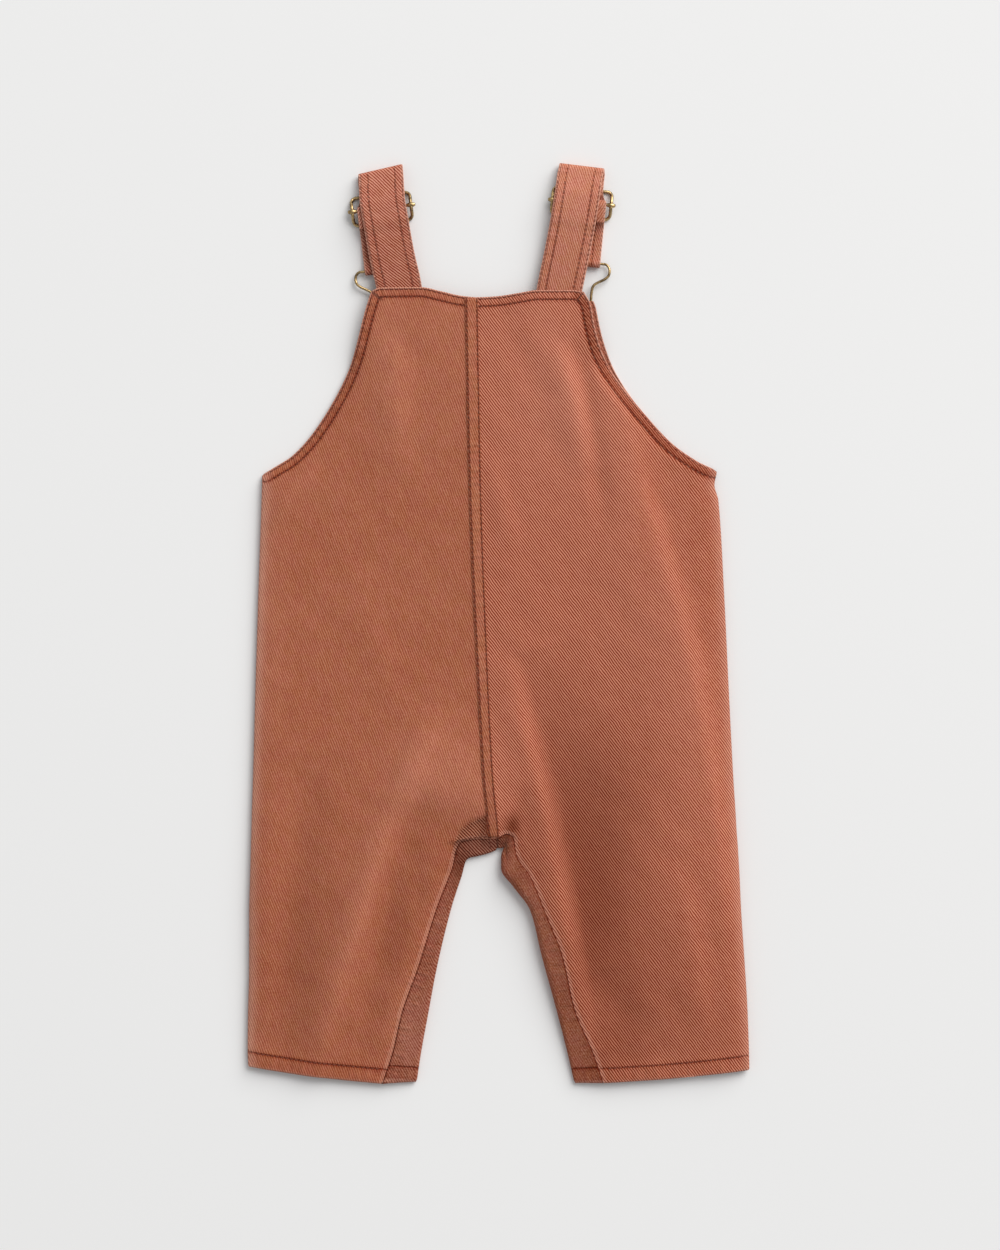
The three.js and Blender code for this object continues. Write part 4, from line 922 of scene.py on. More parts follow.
for half, shape in HALVES.items():
    front = shape["front"]
    rows = levels_down(-BIB_TOP, shape["levels"], *FRONT_STEPS)
    turns_up = rows >= shape["crotch"] - 1e-6
    r, c = np.meshgrid(rows, FRONT_COLUMNS, indexing="ij")
    points = front(r, c)
    normals = surface_normals(front, rows, FRONT_COLUMNS, np.where(turns_up, 4.0, 2.0)[:, None])
    shape["inseam"] = walk(shape["back"](rows[rows > shape["crotch"] + 1], 3.0), half)
    armhole = walk(front(rows[rows < -UNDERARM[half]], 0.0), half)
    hem = walk(front(shape["hem"], np.linspace(0, 2, 60)), half)
    fields = {
        "cloth": points * (1, 1, 0) + points[..., 2:] * (WRAP_SQUEEZE, 0, 0),
        "dye_and_light": front_dye_and_light(points),
        **marked_edges(points, {"rim": [armhole], "hem": [hem], "inseam": [shape["inseam"]]}, FRONT_ZONES),
    }
    fields["inseam"] *= (c > 2)[..., None]  # only on the side that shows
    half_wall = rounded(np.minimum(fields["rim"][..., 0], fields["hem"][..., 0]), WALL / 2, CLOTH_ROUND)
    material = twill_cloth(
        f"front_twill_{half}", [*EDGE_SEAMS[half], FRONT_INSEAM], **FRONT_TWILL[half], depth=0.05, clouds=0.32
    )
    piece = cloth_shell(
        f"front_twill_{half}", points, normals, half_wall, half_wall, material, fields,
        turns_up[:-1, None] | (FRONT_COLUMNS[None, 1:] <= 2),
    )
    shape["front_piece"] = piece
    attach(piece, "root")
    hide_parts(f"front_{half}")

# ---------------------------------------------------------------------------------------------
# The brass. Bib buttons, the bent wire hooks that hold them, and the slides with their bars.
# All are brass-plated, patchy and finely scratched; the sides of their wire that turn away from the
# eye are painted dark, a painted reflection.
HOOK_NECK_HEIGHT = 3.1
HOOK_BAR_HEIGHT = STRAP_THICK + GAP + HOOK_WIRE / 2
SLIDE_WIRE = 2.0
SLIDE = {"width": 35.4, "height": 16.6, "corner": 2.9, "rise": 5.5}
BAR = {"reach": 20.4, "radius": 1, "height": 4.4, "hole": 1.03}
END_WIRE = SLIDE["height"] / 2

# half of the hook's wire, from the middle of its bar to the middle of its foot: out, down
HOOK = [
    (0, 0), (8, 0), (13.4, 0), (15.9, 0.1), (17.8, 1.9), (18.4, 4.7), (17.8, 7), (16, 8.9), (12.3, 11.2),
    (10, 12.9), (9.1, 14.8), (8.8, 18.3), (8.9, 26), (8, 31), (5.6, 35.6), (4.4, 40.6), (2.6, 43.6),
    (0, 44.6),
]
HOOK_NECK = 15  # how far down the hook its wire comes to the neck's height

BRIGHT_BRASS = (0.68, 0.48, 0.23, 1)
DARK_BRASS = (0.09, 0.055, 0.028, 1)
PAINTED_DARK_REFLECTION = (0.035, 0.02, 0.011, 1)  # painted dark reflection on all that is turned away from the eye
BRASS_SCRATCHES = (2400, 500, 900)


def aged_brass_group():
    """Plated wire, patchy and finely scratched, duller where it is dark."""
    group, (place, bright, dark, age) = new_group(
        "aged_brass", {"Place": "Vector", "Bright": "Color", "Dark": "Color", "Age": 0.5}
    )
    patches = noise(place, 260.0, 3.0, 0.6)
    scratches = noise(place.vector("MULTIPLY", BRASS_SCRATCHES), 1.0, 2.0, 0.7)
    aged = fade(scratches * 0.3 + patches, 0.5, 0.85) * age
    return with_outputs(
        group, Color=blend(aged, bright, dark), Roughness=aged * 0.25 + 0.26, Height=scratches + patches
    )


antique_brass, tree, surface = new_material("antique_brass", Metallic=1.0)
aged = place_group(
    tree, aged_brass_group(), Place=object_place(tree), Bright=BRIGHT_BRASS, Dark=DARK_BRASS, Age=0.9
)
# painted dark reflection: the sides turned away from the eye are blended to near black
facing = Value(tree, node(tree, "LayerWeight", {"Blend": 0.5}).outputs["Facing"])
tree.links.new(blend(fade(facing, 0.35, 0.85), aged["Color"], PAINTED_DARK_REFLECTION).socket, surface.inputs["Base Color"])
tree.links.new(aged["Roughness"].socket, surface.inputs["Roughness"])
bump_under(tree, surface, aged["Height"], 0.00004, 0.6)


def smooth_path(points, step, closed=False):
    """Even points on a smooth curve through the given ones."""
    points = np.asarray(points, float)
    if closed:
        points = np.concatenate([points[-1:], points, points[:2]])
    else:
        points = np.concatenate([2 * points[:1] - points[1:2], points, 2 * points[-1:] - points[-2:-1]])
    made = []
    for a, b, c, d in zip(points, points[1:], points[2:], points[3:]):
        spans = [max(np.linalg.norm(q - p), 1e-6) ** 0.5 for p, q in ((a, b), (b, c), (c, d))]
        t0, t1, t2, t3 = np.cumsum([0, *spans])
        for t in np.linspace(t1, t2, max(1, round(np.linalg.norm(c - b) / step)), endpoint=False):
            ab = (t1 - t) / (t1 - t0) * a + (t - t0) / (t1 - t0) * b
            bc = (t2 - t) / (t2 - t1) * b + (t - t1) / (t2 - t1) * c
            cd = (t3 - t) / (t3 - t2) * c + (t - t2) / (t3 - t2) * d
            abc = (t2 - t) / (t2 - t0) * ab + (t - t0) / (t2 - t0) * bc
            bcd = (t3 - t) / (t3 - t1) * bc + (t - t1) / (t3 - t1) * cd
            made.append((t2 - t) / (t2 - t1) * abc + (t - t1) / (t2 - t1) * bcd)
    return np.array(made if closed else [*made, points[-2]])


def ring_faces(rings, sides, closed=False):
    """Four-cornered faces from ring to ring of a round thing."""
    faces = []
    for ring in range(rings if closed else rings - 1):
        this, following = ring * sides, (ring + 1) % rings * sides
        for j in range(sides):
            beyond = (j + 1) % sides
            faces.append((this + j, this + beyond, following + beyond, following + j))
    return faces


def wire_loop(name, points, diameter, material, sides=14):
    """Round wire bent in a closed loop that lies nearly level."""
    path = smooth_path(points, 0.8, closed=True)
    way = np.roll(path, -1, 0) - np.roll(path, 1, 0)
    way /= np.linalg.norm(way, axis=1, keepdims=True)
    side = np.cross(way, (0, 0, 1))
    side /= np.linalg.norm(side, axis=1, keepdims=True)
    up = np.cross(side, way)
    angle = np.arange(sides) / sides * math.tau
    ring = np.cos(angle)[None, :, None] * side[:, None] + np.sin(angle)[None, :, None] * up[:, None]
    vertices = (path[:, None] + ring * diameter / 2).reshape(-1, 3)
    return mesh_piece(name, vertices + SHIFT, ring_faces(len(path), sides, closed=True), material)


def slide_centre(strap):
    return beside(strap, strap["slide"], strap["slide_shift"])


def slide_points(strap):
    """The frame's wire: a rounded oblong whose side wires rise to the bar."""
    half_wide, corner = SLIDE["width"] / 2, SLIDE["corner"]
    inner_wide, inner_high = half_wide - corner, END_WIRE - corner
    outline = []
    for out, down, start in ((1, 1, 0), (-1, 1, 90), (-1, -1, 180), (1, -1, 270)):
        for angle in np.radians(start + 15 * np.arange(7)):
            x, y = out * inner_wide + corner * np.cos(angle), down * inner_high + corner * np.sin(angle)
            outline.append((x, y))
        if out * down < 0:
            outline += [(out * half_wide, down * low) for low in (2.4, 0, -2.4)]
        else:
            outline += [(side * inner_wide / 2, down * END_WIRE) for side in (out, -out)]
    centre = slide_centre(strap)
    return [
        [*beside(strap, centre, out, down),
         mix(SLIDE_WIRE / 2, BAR["height"], ease((END_WIRE - abs(down)) / SLIDE["rise"]))]
        for out, down in outline
    ]


def turned_pin(name, profile, material, sides=28):
    """A solid turned about its own X axis, from its half profile: place along, radius."""
    angle = np.arange(sides) / sides * math.tau
    vertices = [(out, radius * math.cos(a), radius * math.sin(a)) for out, radius in profile for a in angle]
    faces = [face[::-1] for face in ring_faces(len(profile), sides)]
    faces += [range(sides), range(len(vertices) - 1, len(vertices) - 1 - sides, -1)]
    return mesh_piece(name, vertices, faces, material)


def bore(piece, cutters):
    """Takes the cutters out of a piece."""
    for cutter in cutters:
        cut = piece.modifiers.new("bore", "BOOLEAN")
        cut.operation, cut.object, cut.solver = "DIFFERENCE", cutter, "EXACT"
    bpy.context.view_layer.update()
    mesh = bpy.data.meshes.new_from_object(piece.evaluated_get(bpy.context.evaluated_depsgraph_get()))
    piece.modifiers.clear()
    piece.data = mesh
    for cutter in cutters:
        bpy.data.objects.remove(cutter)


# a knob's half profile: in from the bar's end, radius
KNOB = [
    (0, 0.3), (0.1, 0.7), (0.4, 1.0), (0.9, 1.15), (1.3, 1.3), (1.8, 1.5), (2.8, 1.55), (3.6, 1.5),
    (4.1, 1.3), (4.6, 1.1), (5.2, BAR["radius"]),
]
bar_profile = [(inwards - BAR["reach"], radius) for inwards, radius in KNOB]
bar_profile += [(-out, radius) for out, radius in reversed(bar_profile)]
for half, strap in STRAPS.items():
    frame_wire = wire_loop(f"slide_wire_{half}", slide_points(strap), SLIDE_WIRE, antique_brass)
    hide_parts(f"slide_frame_{half}")

    pin = turned_pin(f"slide_pin_{half}", bar_profile, antique_brass)
    cutters = []
    for side in (-1, 1):
        cutter = turned_pin("bore", [(-6, BAR["hole"]), (6, BAR["hole"])], antique_brass, 20)
        cutter.rotation_euler = (0, 0, math.pi / 2)
        cutter.location = (side * SLIDE["width"] / 2 * MM, 0, 0)
        cutters.append(cutter)
    bore(pin, cutters)
    across = run_of(strap)[1]
    middle = Matrix.Translation((np.array([*slide_centre(strap), BAR["height"]]) + SHIFT) * MM)
    pin.data.transform(middle @ Matrix.Rotation(math.atan2(across[1], across[0]), 4, "Z"))
    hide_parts(f"slide_bar_{half}")

    centre = hook_centre(strap)
    wire = [*HOOK, *((-out, down) for out, down in HOOK[-2:0:-1])]
    wire = [
        [*beside(strap, centre, out, down), mix(HOOK_BAR_HEIGHT, HOOK_NECK_HEIGHT, ease(down / HOOK_NECK))]
        for out, down in wire
    ]
    hook = wire_loop(f"hook_wire_{half}", wire, HOOK_WIRE, antique_brass)
    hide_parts(f"hook_{half}")
    for piece in (frame_wire, pin, hook):
        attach(piece, "root")
    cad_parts[f"bib_button_{half}"].material_slots[0].material = antique_brass

# ---------------------------------------------------------------------------------------------
# The straps, each of doubled twill with two rows of stitches along both edges. The lower run
# goes from a stub sewn round the slide's bar, down through the hook's bar and back up over the
# slide's wires; the upper run comes over the shoulder and ends under the neck edge.
LOWER = STRAP_THICK / 2
SECOND = LOWER + STRAP_THICK + GAP
WIRE_OVER = SLIDE_WIRE + REST + STRAP_THICK / 2
WIRE_OVER_TWO = WIRE_OVER + STRAP_THICK + GAP
BAR_TURN = BAR["radius"] + GAP + STRAP_THICK / 2
HOOK_TURN = HOOK_WIRE / 2 + GAP + STRAP_THICK / 2
STUB = BAR["height"] + BAR_TURN
OVER_ALL = STUB + STRAP_THICK + GAP
FOLD_TURN = 2.2
NEAR_WIRE = END_WIRE - 2.6
PAST_WIRE = END_WIRE + 2.6
DOWN_AGAIN = END_WIRE + 6.4
BEFORE_HOOK = 9
ASIDE = {"over": 8, "run": 20}  # above the bar the lower run leaves its line for the fold's middle
STRAP_END_RUN = 60  # how far past the hook the height of the upper run is given
LEAN_ZONE = 16
STRAP_ROWS = (0.9, 5.4)
STRAP_PALER = 0.09  # at the shoulder, and as much deeper at the neck
STRAP_PALER_REACH = 75
STRAP_ROUND = 0.7
STRAP_TWILL = {
    "left": {"body": (0.45, 0.137, 0.078, 1), "line": 130, "contrast": 1.2},
    "right": {"body": (0.53, 0.188, 0.113, 1), "line": 118, "contrast": 0.5},
}
STRAP_SEAM = {
    "field": "rim", "rows": STRAP_ROWS, "ribs": 0.16, "reach": 8.0, "rubbing": 1.2,
    "shade": 0.03, "depth": 0.45,
}


def bent(down, height, radius, start, end):
    angles = np.radians(np.linspace(start, end, 7))
    return [(down + radius * math.cos(a), height + radius * math.sin(a)) for a in angles]


def lower_run(hook):
    """Down the lower run from its sewn-on stub: how far below the bar, and how high."""
    return [
        (11.4, STUB - 0.6), (END_WIRE, STUB), (4, STUB), *bent(0, BAR["height"], BAR_TURN, 90, 270),
        (3.4, SECOND + 0.15), (6, WIRE_OVER_TWO - 0.5), (END_WIRE, WIRE_OVER_TWO),
        (PAST_WIRE, WIRE_OVER_TWO - 0.5), (DOWN_AGAIN, SECOND + 0.1), (hook - BEFORE_HOOK, SECOND),
        (hook - BEFORE_HOOK / 2, SECOND + 0.6), *bent(hook, HOOK_BAR_HEIGHT, HOOK_TURN, 90, -90),
        (hook - BEFORE_HOOK, LOWER), (DOWN_AGAIN, LOWER), (PAST_WIRE, WIRE_OVER - 0.6),
        (END_WIRE, WIRE_OVER), (NEAR_WIRE, WIRE_OVER - 0.7), (3, LOWER + 0.1), (0, LOWER), (-3, LOWER + 0.1),
        (-NEAR_WIRE, WIRE_OVER - 0.7), (-END_WIRE, WIRE_OVER), (-PAST_WIRE, WIRE_OVER - 0.6),
        (-END_WIRE - 5.6, LOWER + 0.3),
    ]


def strap_stations(strap):
    """Places along the strap's middle line, each with the way its width points."""
    way, across = run_of(strap)
    slide, fold, turn = strap["slide"], strap["fold"], math.radians(strap["turn"])
    hook = float(np.hypot(*np.subtract(strap["hook"], slide)))
    stations = []
    for down, z in lower_run(hook):
        aside = ease(-down / ASIDE["over"]) * (fold[0] - slide[0] + way[0] * ASIDE["run"])
        x, y = slide[0] + way[0] * down + aside, slide[1] + way[1] * down
        stations.append((x, y, z, math.atan2(across[1], across[0])))

    fold_y = fold[1] - FOLD_TURN - LOWER
    for k, (down, z) in enumerate(bent(0, LOWER + FOLD_TURN, FOLD_TURN, -90, -270)):
        stations.append((mix(fold[0], strap["back"][0][0], k / 6), fold_y - down, z, turn))

    middle = curve_through([-y for x, y in strap["back"]], [x for x, y in strap["back"]])
    height = curve_through(
        [slide[1] - fold_y, -END_WIRE, -3, END_WIRE + 1, END_WIRE + 6, hook - 10, hook, hook + STRAP_END_RUN],
        [LOWER + 2 * FOLD_TURN, OVER_ALL - 0.9, OVER_ALL, OVER_ALL, OVER_ALL - 1, STRAP_END + 0.2,
         STRAP_END, STRAP_END],
    )
    start = fold_y - 3.5
    for y in np.linspace(start, strap["back"][-1][1], 15):
        lean = math.atan(middle(-y + 1) / 2 - middle(-y - 1) / 2)
        turned = mix(turn, lean, float(ease((start + 4 - y) / LEAN_ZONE)))
        stations.append((float(middle(-y)), y, float(height(slide[1] - y)), turned))
    return stations


NEAR_STRAP_EDGE = np.array([0, 0.12, 0.35, 0.7, 1.1, 1.6, 2.3, 3.2, 4.2, 5.2, 6.2, 7.4, 9, 11])
STRAP_PLACES = np.array([
    *(NEAR_STRAP_EDGE - STRAP_WIDTH / 2), 0, *(STRAP_WIDTH / 2 - NEAR_STRAP_EDGE)[::-1]
])
for half, strap in STRAPS.items():
    stations = smooth_path(strap_stations(strap), 1.1)
    at, turn = stations[:, :3], stations[:, 3]
    way = np.gradient(at, axis=0)
    way /= np.linalg.norm(way, axis=1, keepdims=True)
    wide = np.stack([np.cos(turn), np.sin(turn), 0 * turn], -1)
    normal = np.cross(wide, way)
    normal /= np.linalg.norm(normal, axis=1, keepdims=True)
    points = at[:, None] + wide[:, None] * STRAP_PLACES[None, :, None]
    normals = np.broadcast_to(normal[:, None], points.shape)
    gone = np.concatenate([[0], np.cumsum(np.linalg.norm(np.diff(at, axis=0), axis=1))])
    down_strap, across_strap = np.meshgrid(gone, STRAP_PLACES, indexing="ij")
    inside = STRAP_WIDTH / 2 - np.abs(across_strap)
    along = down_strap + (across_strap > 0) * ROWS_APART
    half_strap = rounded(inside, STRAP_THICK / 2, STRAP_ROUND)
    material = twill_cloth(f"strap_twill_{half}", [STRAP_SEAM], **STRAP_TWILL[half])
    upper_run = math.hypot(*np.subtract(strap["back"][0], strap["back"][-1]))
    from_fold = np.abs(down_strap - gone[-1] + upper_run)
    paler = STRAP_PALER * (1 - 2 * ease(from_fold / STRAP_PALER_REACH))
    fields = {
        "cloth": np.stack([across_strap, -down_strap, 0 * inside], -1),
        "rim": np.stack([inside, along, np.ones(inside.shape)], -1),
        "dye_and_light": np.stack([paler, 0 * inside, 0 * inside], -1),
    }
    piece = cloth_shell(f"strap_twill_{half}", points, normals, half_strap, half_strap, material, fields)
    strap["piece"], strap["points"], strap["gone"] = piece, points, gone
    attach(piece, "root")
    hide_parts(f"strap_{half}")

# ---------------------------------------------------------------------------------------------
# The two back halves, single layers of twill over the fronts. Their neck and armhole edges are
# turned under and stitched twice, and their leg hems once. They meet the fronts at the side
# seams, and at the inseams, which were pulled round to this side.
BACK_TWILL = {
    "left": {"body": (0.40, 0.119, 0.0595, 1), "line": 111, "contrast": 0.52, "tucked": TUCKED_LINE},
    "right": {"body": (0.435, 0.117, 0.059, 1), "line": 127, "contrast": 1.6, "slubs": 0.3},
}
# the inseam's row of stitches is on the front's side of it, and this side only puckers
BACK_INSEAM = {"field": "inseam", "rows": (-60, -60), "ribs": 0.15, "reach": 6.0, "rubbing": 0.35}
NEAR_EDGE = np.array([0, 0.12, 0.35, 0.7, 1.2, 1.8, 2.5, 3.3, 4.2, 5.2, 6.3, 7.5, 8.7])
BACK_COLUMNS = np.array([
    *np.sqrt(np.array([*NEAR_EDGE, 10, 11.3, 12.6]) / SHOULDER),
    *np.linspace(1, 2, 50)[:-1],
    *(3 - np.sqrt(NEAR_EDGE[::-1] * 1.14 / INNER_ZONE)),
])
MIDDLE_COLUMN = 40
BACK_STEPS = (1.9, 0.8)
BACK_ZONES = {"rim": 11, "hem": 13, "inseam": 10}
FOLD_RUB_AND_PAINTED_LIGHT = 0.024  # paler by this for each millimetre that a fold stands up, partly rubbed and partly painted light, and as much darker in a hollow, painted shade
SIDE_RUB = {"left": 0.75, "right": 0.45, "reach": 4}
SIDE_ZONE = 30
RIM_BAND_SHADE = {"left": 0.03, "right": 0.3}  # painted shade on the armhole's band, from its first row to a little past the second
RIM_END = 7.4

# oval spots where the right back's weave stands out more or less
CRISP = [
    ((40, 0), (42, 110), 0.45),
    ((89, 60), (10, 50), -0.6),
    ((124, -40), (14, 160), -0.3),
]


def ripples(x, y):
    """The slight unevenness of washed cloth."""
    a = np.sin(x / 7.3 + 1.7 * np.sin(y / 19.0) + 0.6)
    b = np.sin(y / 9.1 + 1.3 * np.sin(x / 15.0) + 2.1)
    c = np.sin((x + y) / 4.7 + 1.1 * np.sin((x - y) / 11.0))
    return 0.16 * a * b + 0.07 * c


def back_dye_and_light(points, side_distance, half):
    """On each corner: how much paler or darker the colour is, by dye spots, by rubbing and painted light
    on the folds' crests and painted shade in their hollows and in the tuck, how much it is rubbed, and
    how far the weave stands out, which is in the left one's tuck, as painted raking light, and where
    the right one is crisp."""
    x, y = points[..., 0], points[..., 1]
    tuck = in_tuck(x, y)
    dye_and_light = FOLD_RUB_AND_PAINTED_LIGHT * fold_relief(x, y) - TUCK_PAINTED_SHADE * tuck + spots(DYE_AND_PAINTED_LIGHT_SPOTS, x, y)
    rub = SIDE_RUB[half] * np.exp(-((side_distance / SIDE_RUB["reach"]) ** 2))
    return np.stack([dye_and_light, rub, spots(CRISP, x, y) if half == "right" else tuck], -1)


def laid_flat(points):
    """Places on the cloth in millimetres as if it lay flat, so that the weave follows its turns."""
    step = np.linalg.norm(np.diff(points, axis=1), axis=-1)
    gone = np.concatenate([np.zeros((len(points), 1)), np.cumsum(step, 1)], 1)
    sense = np.sign(points[:, -1, 0] - points[:, 0, 0])[:, None]
    start = points[:, MIDDLE_COLUMN, 0][:, None]
    u = start + sense * (gone - gone[:, MIDDLE_COLUMN][:, None])
    return np.stack([u, points[..., 1], 0 * u], -1)


for half, shape in HALVES.items():
    back, top = shape["back"], shape["top"]
    rows = levels_down(top, shape["levels"], *BACK_STEPS)
    r, c = np.meshgrid(rows, BACK_COLUMNS, indexing="ij")
    points = back(r, c)
    normals = surface_normals(back, rows, BACK_COLUMNS, 3.0)
    armhole = walk(back(rows[rows < -UNDERARM[half]], 0.0), half)
    neck = back(top, np.linspace(0, 3, 80))
    neck = edge_line(neck[::-1] if half == "left" else neck)
    hem = walk(back(shape["hem"], np.linspace(0, 3, 80)), half)
    side = walk(back(np.linspace(-UNDERARM[half], shape["hem"], 300), 0.0), half)
    shape["armhole"], shape["neck"], shape["back_hem"] = armhole, neck, hem

    x, y = points[..., 0], points[..., 1]
    dye_and_light = back_dye_and_light(points, from_edge(x, y, [side], SIDE_ZONE)[..., 0], half)
    from_rim = from_edge(x, y, [armhole], BACK_ZONES["rim"])[..., 0]
    between_rows = ease((from_rim - ARMHOLE_ROWS[0]) / 0.8) * ease((RIM_END - from_rim) / 1.6)
    dye_and_light[..., 0] -= RIM_BAND_SHADE[half] * between_rows
    edges = {"rim": [armhole, neck], "hem": [hem], "inseam": [shape["inseam"]]}
    fields = {"cloth": laid_flat(points), "dye_and_light": dye_and_light, **marked_edges(points, edges, BACK_ZONES)}
    inner = rounded(np.minimum(fields["rim"][..., 0], fields["hem"][..., 0]), WALL / 2, CLOTH_ROUND)
    from_edges = ease(c / 0.6) * ease((3 - c) / 0.6) * ease((rows[:, None] - rows[0]) / 12)
    outer = inner + ripples(x, y) * from_edges
    facing_up = normals[len(rows) // 2, MIDDLE_COLUMN, 2] > 0
    material = twill_cloth(f"back_twill_{half}", [*EDGE_SEAMS[half], BACK_INSEAM], **BACK_TWILL[half])
    piece = cloth_shell(
        f"back_twill_{half}", points, normals, outer if facing_up else inner, inner if facing_up else outer,
        material, fields,
    )
    shape["back_piece"] = piece
    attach(piece, "root")
    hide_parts(f"back_{half}")

# ---------------------------------------------------------------------------------------------
# The lap of the centre-back seam: both halves' edges folded together and stitched down flat
# with two rows, from the neck to the crotch. It is narrower at the crotch.
FELL_THICK = 0.6
FELL_LEFT = 6.6
FELL_RIGHT = 1.3
FELL_ENDS = (195.9, -126.8)
FELL_NARROW = {"by": 1.3, "from": 150, "over": 280}
FELL_ON_BACK = WALL / 2 + 0.12
FELL_ROUND = 0.7
FELL_ROW = 0.8
FELL_DARKER = {"by": 0.12, "from": 20, "over": 100}  # darker towards the crotch
FELL_TWILL = {"body": (0.435, 0.136, 0.07, 1), "line": 111, "contrast": 0.5}
FELL_SEAM = {
    "field": "rim", "rows": (FELL_ROW, FELL_ROW), "ribs": 0.2, "reach": 9.0, "rubbing": 0.0,
    "shade": 0.0, "depth": 0.8,
}
FELL_COLUMNS = np.array([0, 0.03, 0.08, 0.15, 0.25, 0.38, 0.5, 0.62, 0.75, 0.85, 0.92, 0.97, 1])


def fell_surface(level, across):
    """across runs from the right edge to the left"""
    level, across = np.broadcast_arrays(np.asarray(level, float), np.asarray(across, float))
    narrow = FELL_NARROW["by"] * ease((FELL_NARROW["from"] + level) / FELL_NARROW["over"])
    x = centre_x(level) + mix(FELL_RIGHT, narrow - FELL_LEFT, across)
    return np.stack([x, -level, lie_height(x, -level)], -1)


rows = np.linspace(-FELL_ENDS[0], -FELL_ENDS[1], 240)
r, c = np.meshgrid(rows, FELL_COLUMNS, indexing="ij")
points = fell_surface(r, c)
normals = surface_normals(fell_surface, rows, FELL_COLUMNS, 1.0)
points = points + normals * (FELL_ON_BACK + FELL_THICK / 2)
width = np.abs(points[:, -1, 0] - points[:, 0, 0])
inside = np.minimum(c, 1 - c) * width[:, None]
darker_to_crotch = FELL_DARKER["by"] * ease((r - FELL_DARKER["from"]) / FELL_DARKER["over"])
fields = {
    "cloth": points,
    "rim": np.stack([inside, r - rows[0], np.ones(r.shape)], -1),
    "dye_and_light": np.stack([-darker_to_crotch, 0 * r, 0 * r], -1),
}
half_fell = rounded(inside, FELL_THICK / 2, FELL_ROUND)
fell_twill = twill_cloth("centre_seam_twill", [FELL_SEAM], **FELL_TWILL)
fell = cloth_shell("centre_seam_lap", points, normals, half_fell, half_fell, fell_twill, fields)
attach(fell, "root")
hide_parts("back_centre_seam")

# ---------------------------------------------------------------------------------------------
# The stitches: thick dyed cotton thread, lock-stitched by machine. Each stitch stands a little
# proud of the groove that it pulls into the cloth and goes down through a needle hole.
THREAD = {"thick": 0.6, "flat": 0.85, "sides": 6}
THREAD_RISE = (-0.3, 0.02, 0.1, 0.12, 0.1, 0.02, -0.3)
THREAD_WIDE = (0.55, 0.9, 1.0, 1.0, 1.0, 0.9, 0.55)
STITCHED_RUN = 74  # of each strap's end, as much as shows
HOLE_GAP = 0.22  # from a stitch's end to the middle of its needle hole
FIRST_STITCH = 1.5  # how far from an edge's end the sewing starts
ABOVE_ALL = 0.03  # metres
STEEPEST = 1.6  # a stitch that would climb more than this is left out


def dyed_thread(name, deep, pale):
    material, tree, surface = new_material(name, Roughness=0.7)
    surface.inputs["Specular IOR Level"].default_value = 0.2
    place = object_place(tree)
    wave = node(tree, "TexWave", {"Vector": place, "Scale": 420.0, "Distortion": 2.0, "Detail": 1.0})
    strands = Value(tree, wave.outputs["Fac"])
    tone = strands * 0.4 + noise(place, 90.0) * 0.8
    tree.links.new(blend(tone, deep, pale).socket, surface.inputs["Base Color"])
    bump_under(tree, surface, strands, 0.00008, 1.0)
    return material


edge_thread = dyed_thread("edge_thread", (0.12, 0.030, 0.018, 1), (0.24, 0.068, 0.04, 1))
strap_thread = dyed_thread("strap_thread", (0.24, 0.07, 0.042, 1), (0.34, 0.115, 0.075, 1))


def surfaces_below(pieces):
    """The surfaces of some pieces, to lay stitches on."""
    vertices, faces = [], []
    for piece in pieces:
        start = len(vertices)
        vertices += [vertex.co for vertex in piece.data.vertices]
        faces += [[start + k for k in face.vertices] for face in piece.data.polygons]
    return BVHTree.FromPolygons(vertices, faces)


def row_beside(edge, distance=0.0, start=0.0):
    """A row of stitches at a distance inside an edge line: (x, y) for each place, and where it runs."""

    def place(s):
        x, y = (np.interp(s, edge["along"], edge["line"][:, k]) for k in (0, 1))
        i, j = (np.interp(s, edge["along"], edge["inward"][:, k]) for k in (0, 1))
        size = math.hypot(i, j)
        return x + i / size * distance, y + j / size * distance

    return place, start, edge["along"][-1]


def laid_on(below, places):
    """Where places lie on the surfaces below, each with its normal, until one misses."""
    laid = []
    for x, y in places:
        above = Vector(((x + SHIFT[0]) * MM, (y + SHIFT[1]) * MM, ABOVE_ALL))
        hit, normal = below.ray_cast(above, Vector((0, 0, -1)))[:2]
        if hit is None or normal.z < 0.08:
            break
        laid.append((np.array(hit) / MM, np.array(normal)))
    return laid


def stitch_rings(laid):
    """The rings of corners round one stitch."""
    at = np.array([spot + normal * rise for (spot, normal), rise in zip(laid, THREAD_RISE)])
    way = at[-1] - at[0]
    way /= np.linalg.norm(way)
    side = np.cross(way, np.mean([facing for spot, facing in laid], 0))
    side /= np.linalg.norm(side)
    up = np.cross(side, way)
    corners = []
    for centre, wide in zip(at, THREAD_WIDE):
        for j in range(THREAD["sides"]):
            angle = j / THREAD["sides"] * math.tau
            out = side * math.cos(angle) + up * THREAD["flat"] * math.sin(angle)
            corners.append(centre + out * THREAD["thick"] / 2 * wide)
    return corners


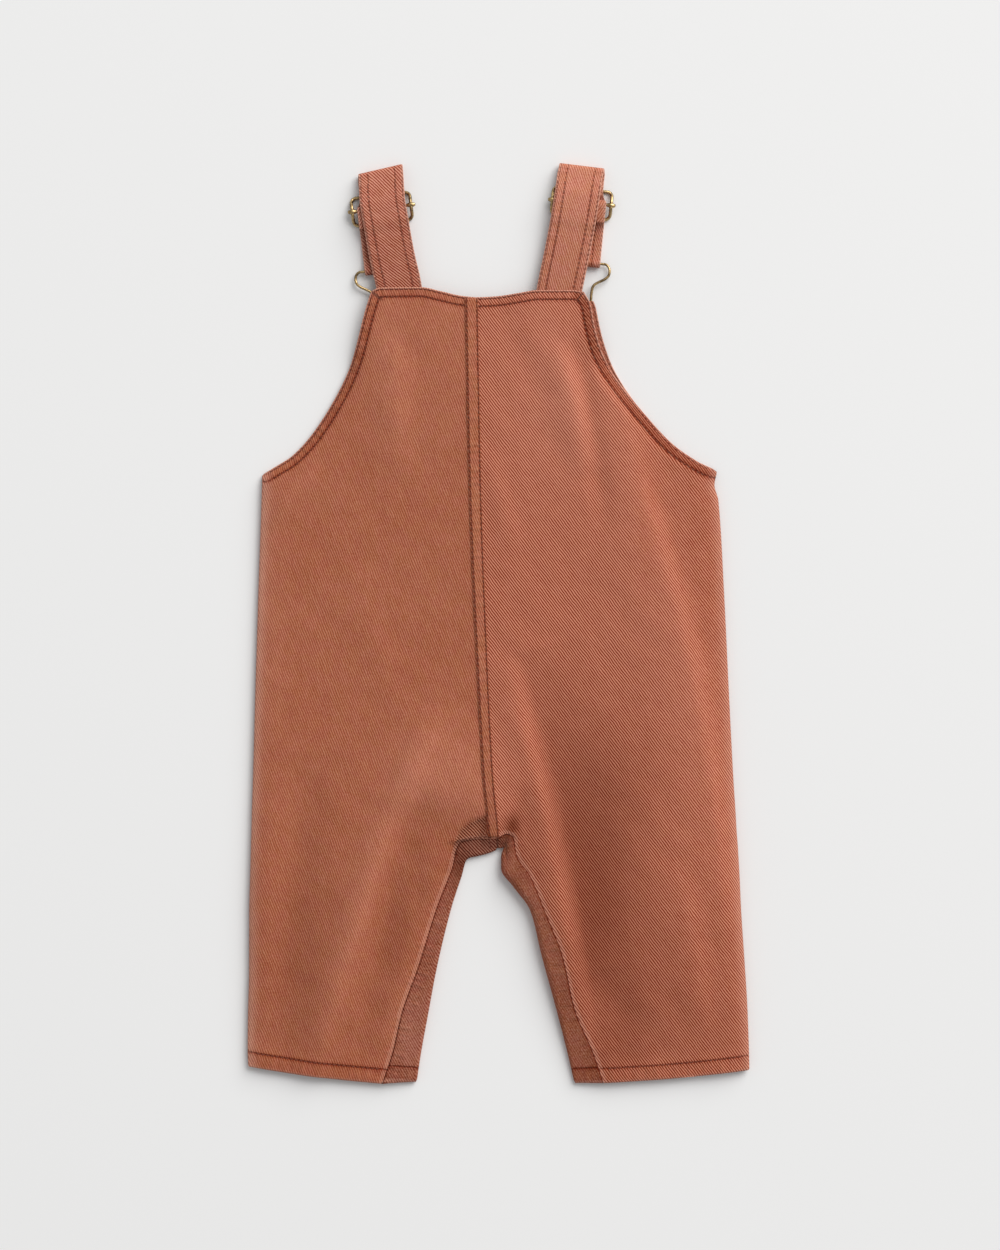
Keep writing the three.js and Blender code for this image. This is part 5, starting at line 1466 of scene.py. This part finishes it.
def sew(name, pieces, lines, material, steepest=STEEPEST):
    """One object with all the stitches of some rows, laid on the pieces below them."""
    below = surfaces_below(pieces)
    rings, sides = len(THREAD_RISE), THREAD["sides"]
    stitch_faces = [(a, d, c, b) for a, b, c, d in ring_faces(rings, sides)]
    stitch_faces += [range(sides), range(rings * sides - 1, (rings - 1) * sides - 1, -1)]
    vertices, faces = [], []
    for place, start, end in lines:
        for number in range(math.ceil(start / STITCH), int(end / STITCH)):
            length = STITCH - 2 * HOLE_GAP
            steps = [number * STITCH + HOLE_GAP + length * k / (rings - 1) for k in range(rings)]
            laid = laid_on(below, [place(step) for step in steps])
            if len(laid) < rings or np.ptp([spot[2] for spot, facing in laid]) > steepest:
                continue
            faces += [[len(vertices) + k for k in face] for face in stitch_faces]
            vertices += stitch_rings(laid)
    piece = mesh_piece(name, vertices, faces, material)
    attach(piece, "root")


for half, shape in HALVES.items():
    edges = [(shape[edge], row) for edge in ("armhole", "neck") for row in ARMHOLE_ROWS]
    edges.append((shape["back_hem"], HEM_ROWS[0]))
    rows = [row_beside(edge, row, FIRST_STITCH) for edge, row in edges]
    sew(f"edge_stitches_{half}", [shape["back_piece"]], rows, edge_thread)

    strap = STRAPS[half]
    upper = strap["points"][strap["gone"] > strap["gone"][-1] - STITCHED_RUN]
    rows = []
    for inside in (*STRAP_ROWS, *(STRAP_WIDTH - row for row in STRAP_ROWS)):
        place = inside - STRAP_WIDTH / 2
        line = [[np.interp(place, STRAP_PLACES, station[:, k]) for k in (0, 1)] for station in upper]
        rows.append(row_beside(edge_line(line)))
    sew(f"strap_stitches_{half}", [strap["piece"]], rows, strap_thread)

rows = []
for side in (0, 1):
    share = np.abs(side - FELL_ROW / width)
    line = [[np.interp(at, FELL_COLUMNS, row[:, k]) for k in (0, 1)] for at, row in zip(share, points)]
    rows.append(row_beside(edge_line(line)))
sew("centre_seam_stitches", [fell], rows, edge_thread)

# the crotch: a row along the cross seam, and the two rows of the lap carried on to the edge
CROTCH_STITCHES = [
    [(-21, -128.6), (-14, -127.5), (-1.6, -127)],
    [(-5.2, -126), (-4.6, -136)],
    [(-0.9, -126), (-0.6, -134)],
]
sew(
    "crotch_stitches",
    [HALVES["left"]["front_piece"], HALVES["right"]["front_piece"], HALVES["left"]["back_piece"]],
    [row_beside(edge_line(smooth_path(row, 0.5))) for row in CROTCH_STITCHES], edge_thread, steepest=4.5,
)
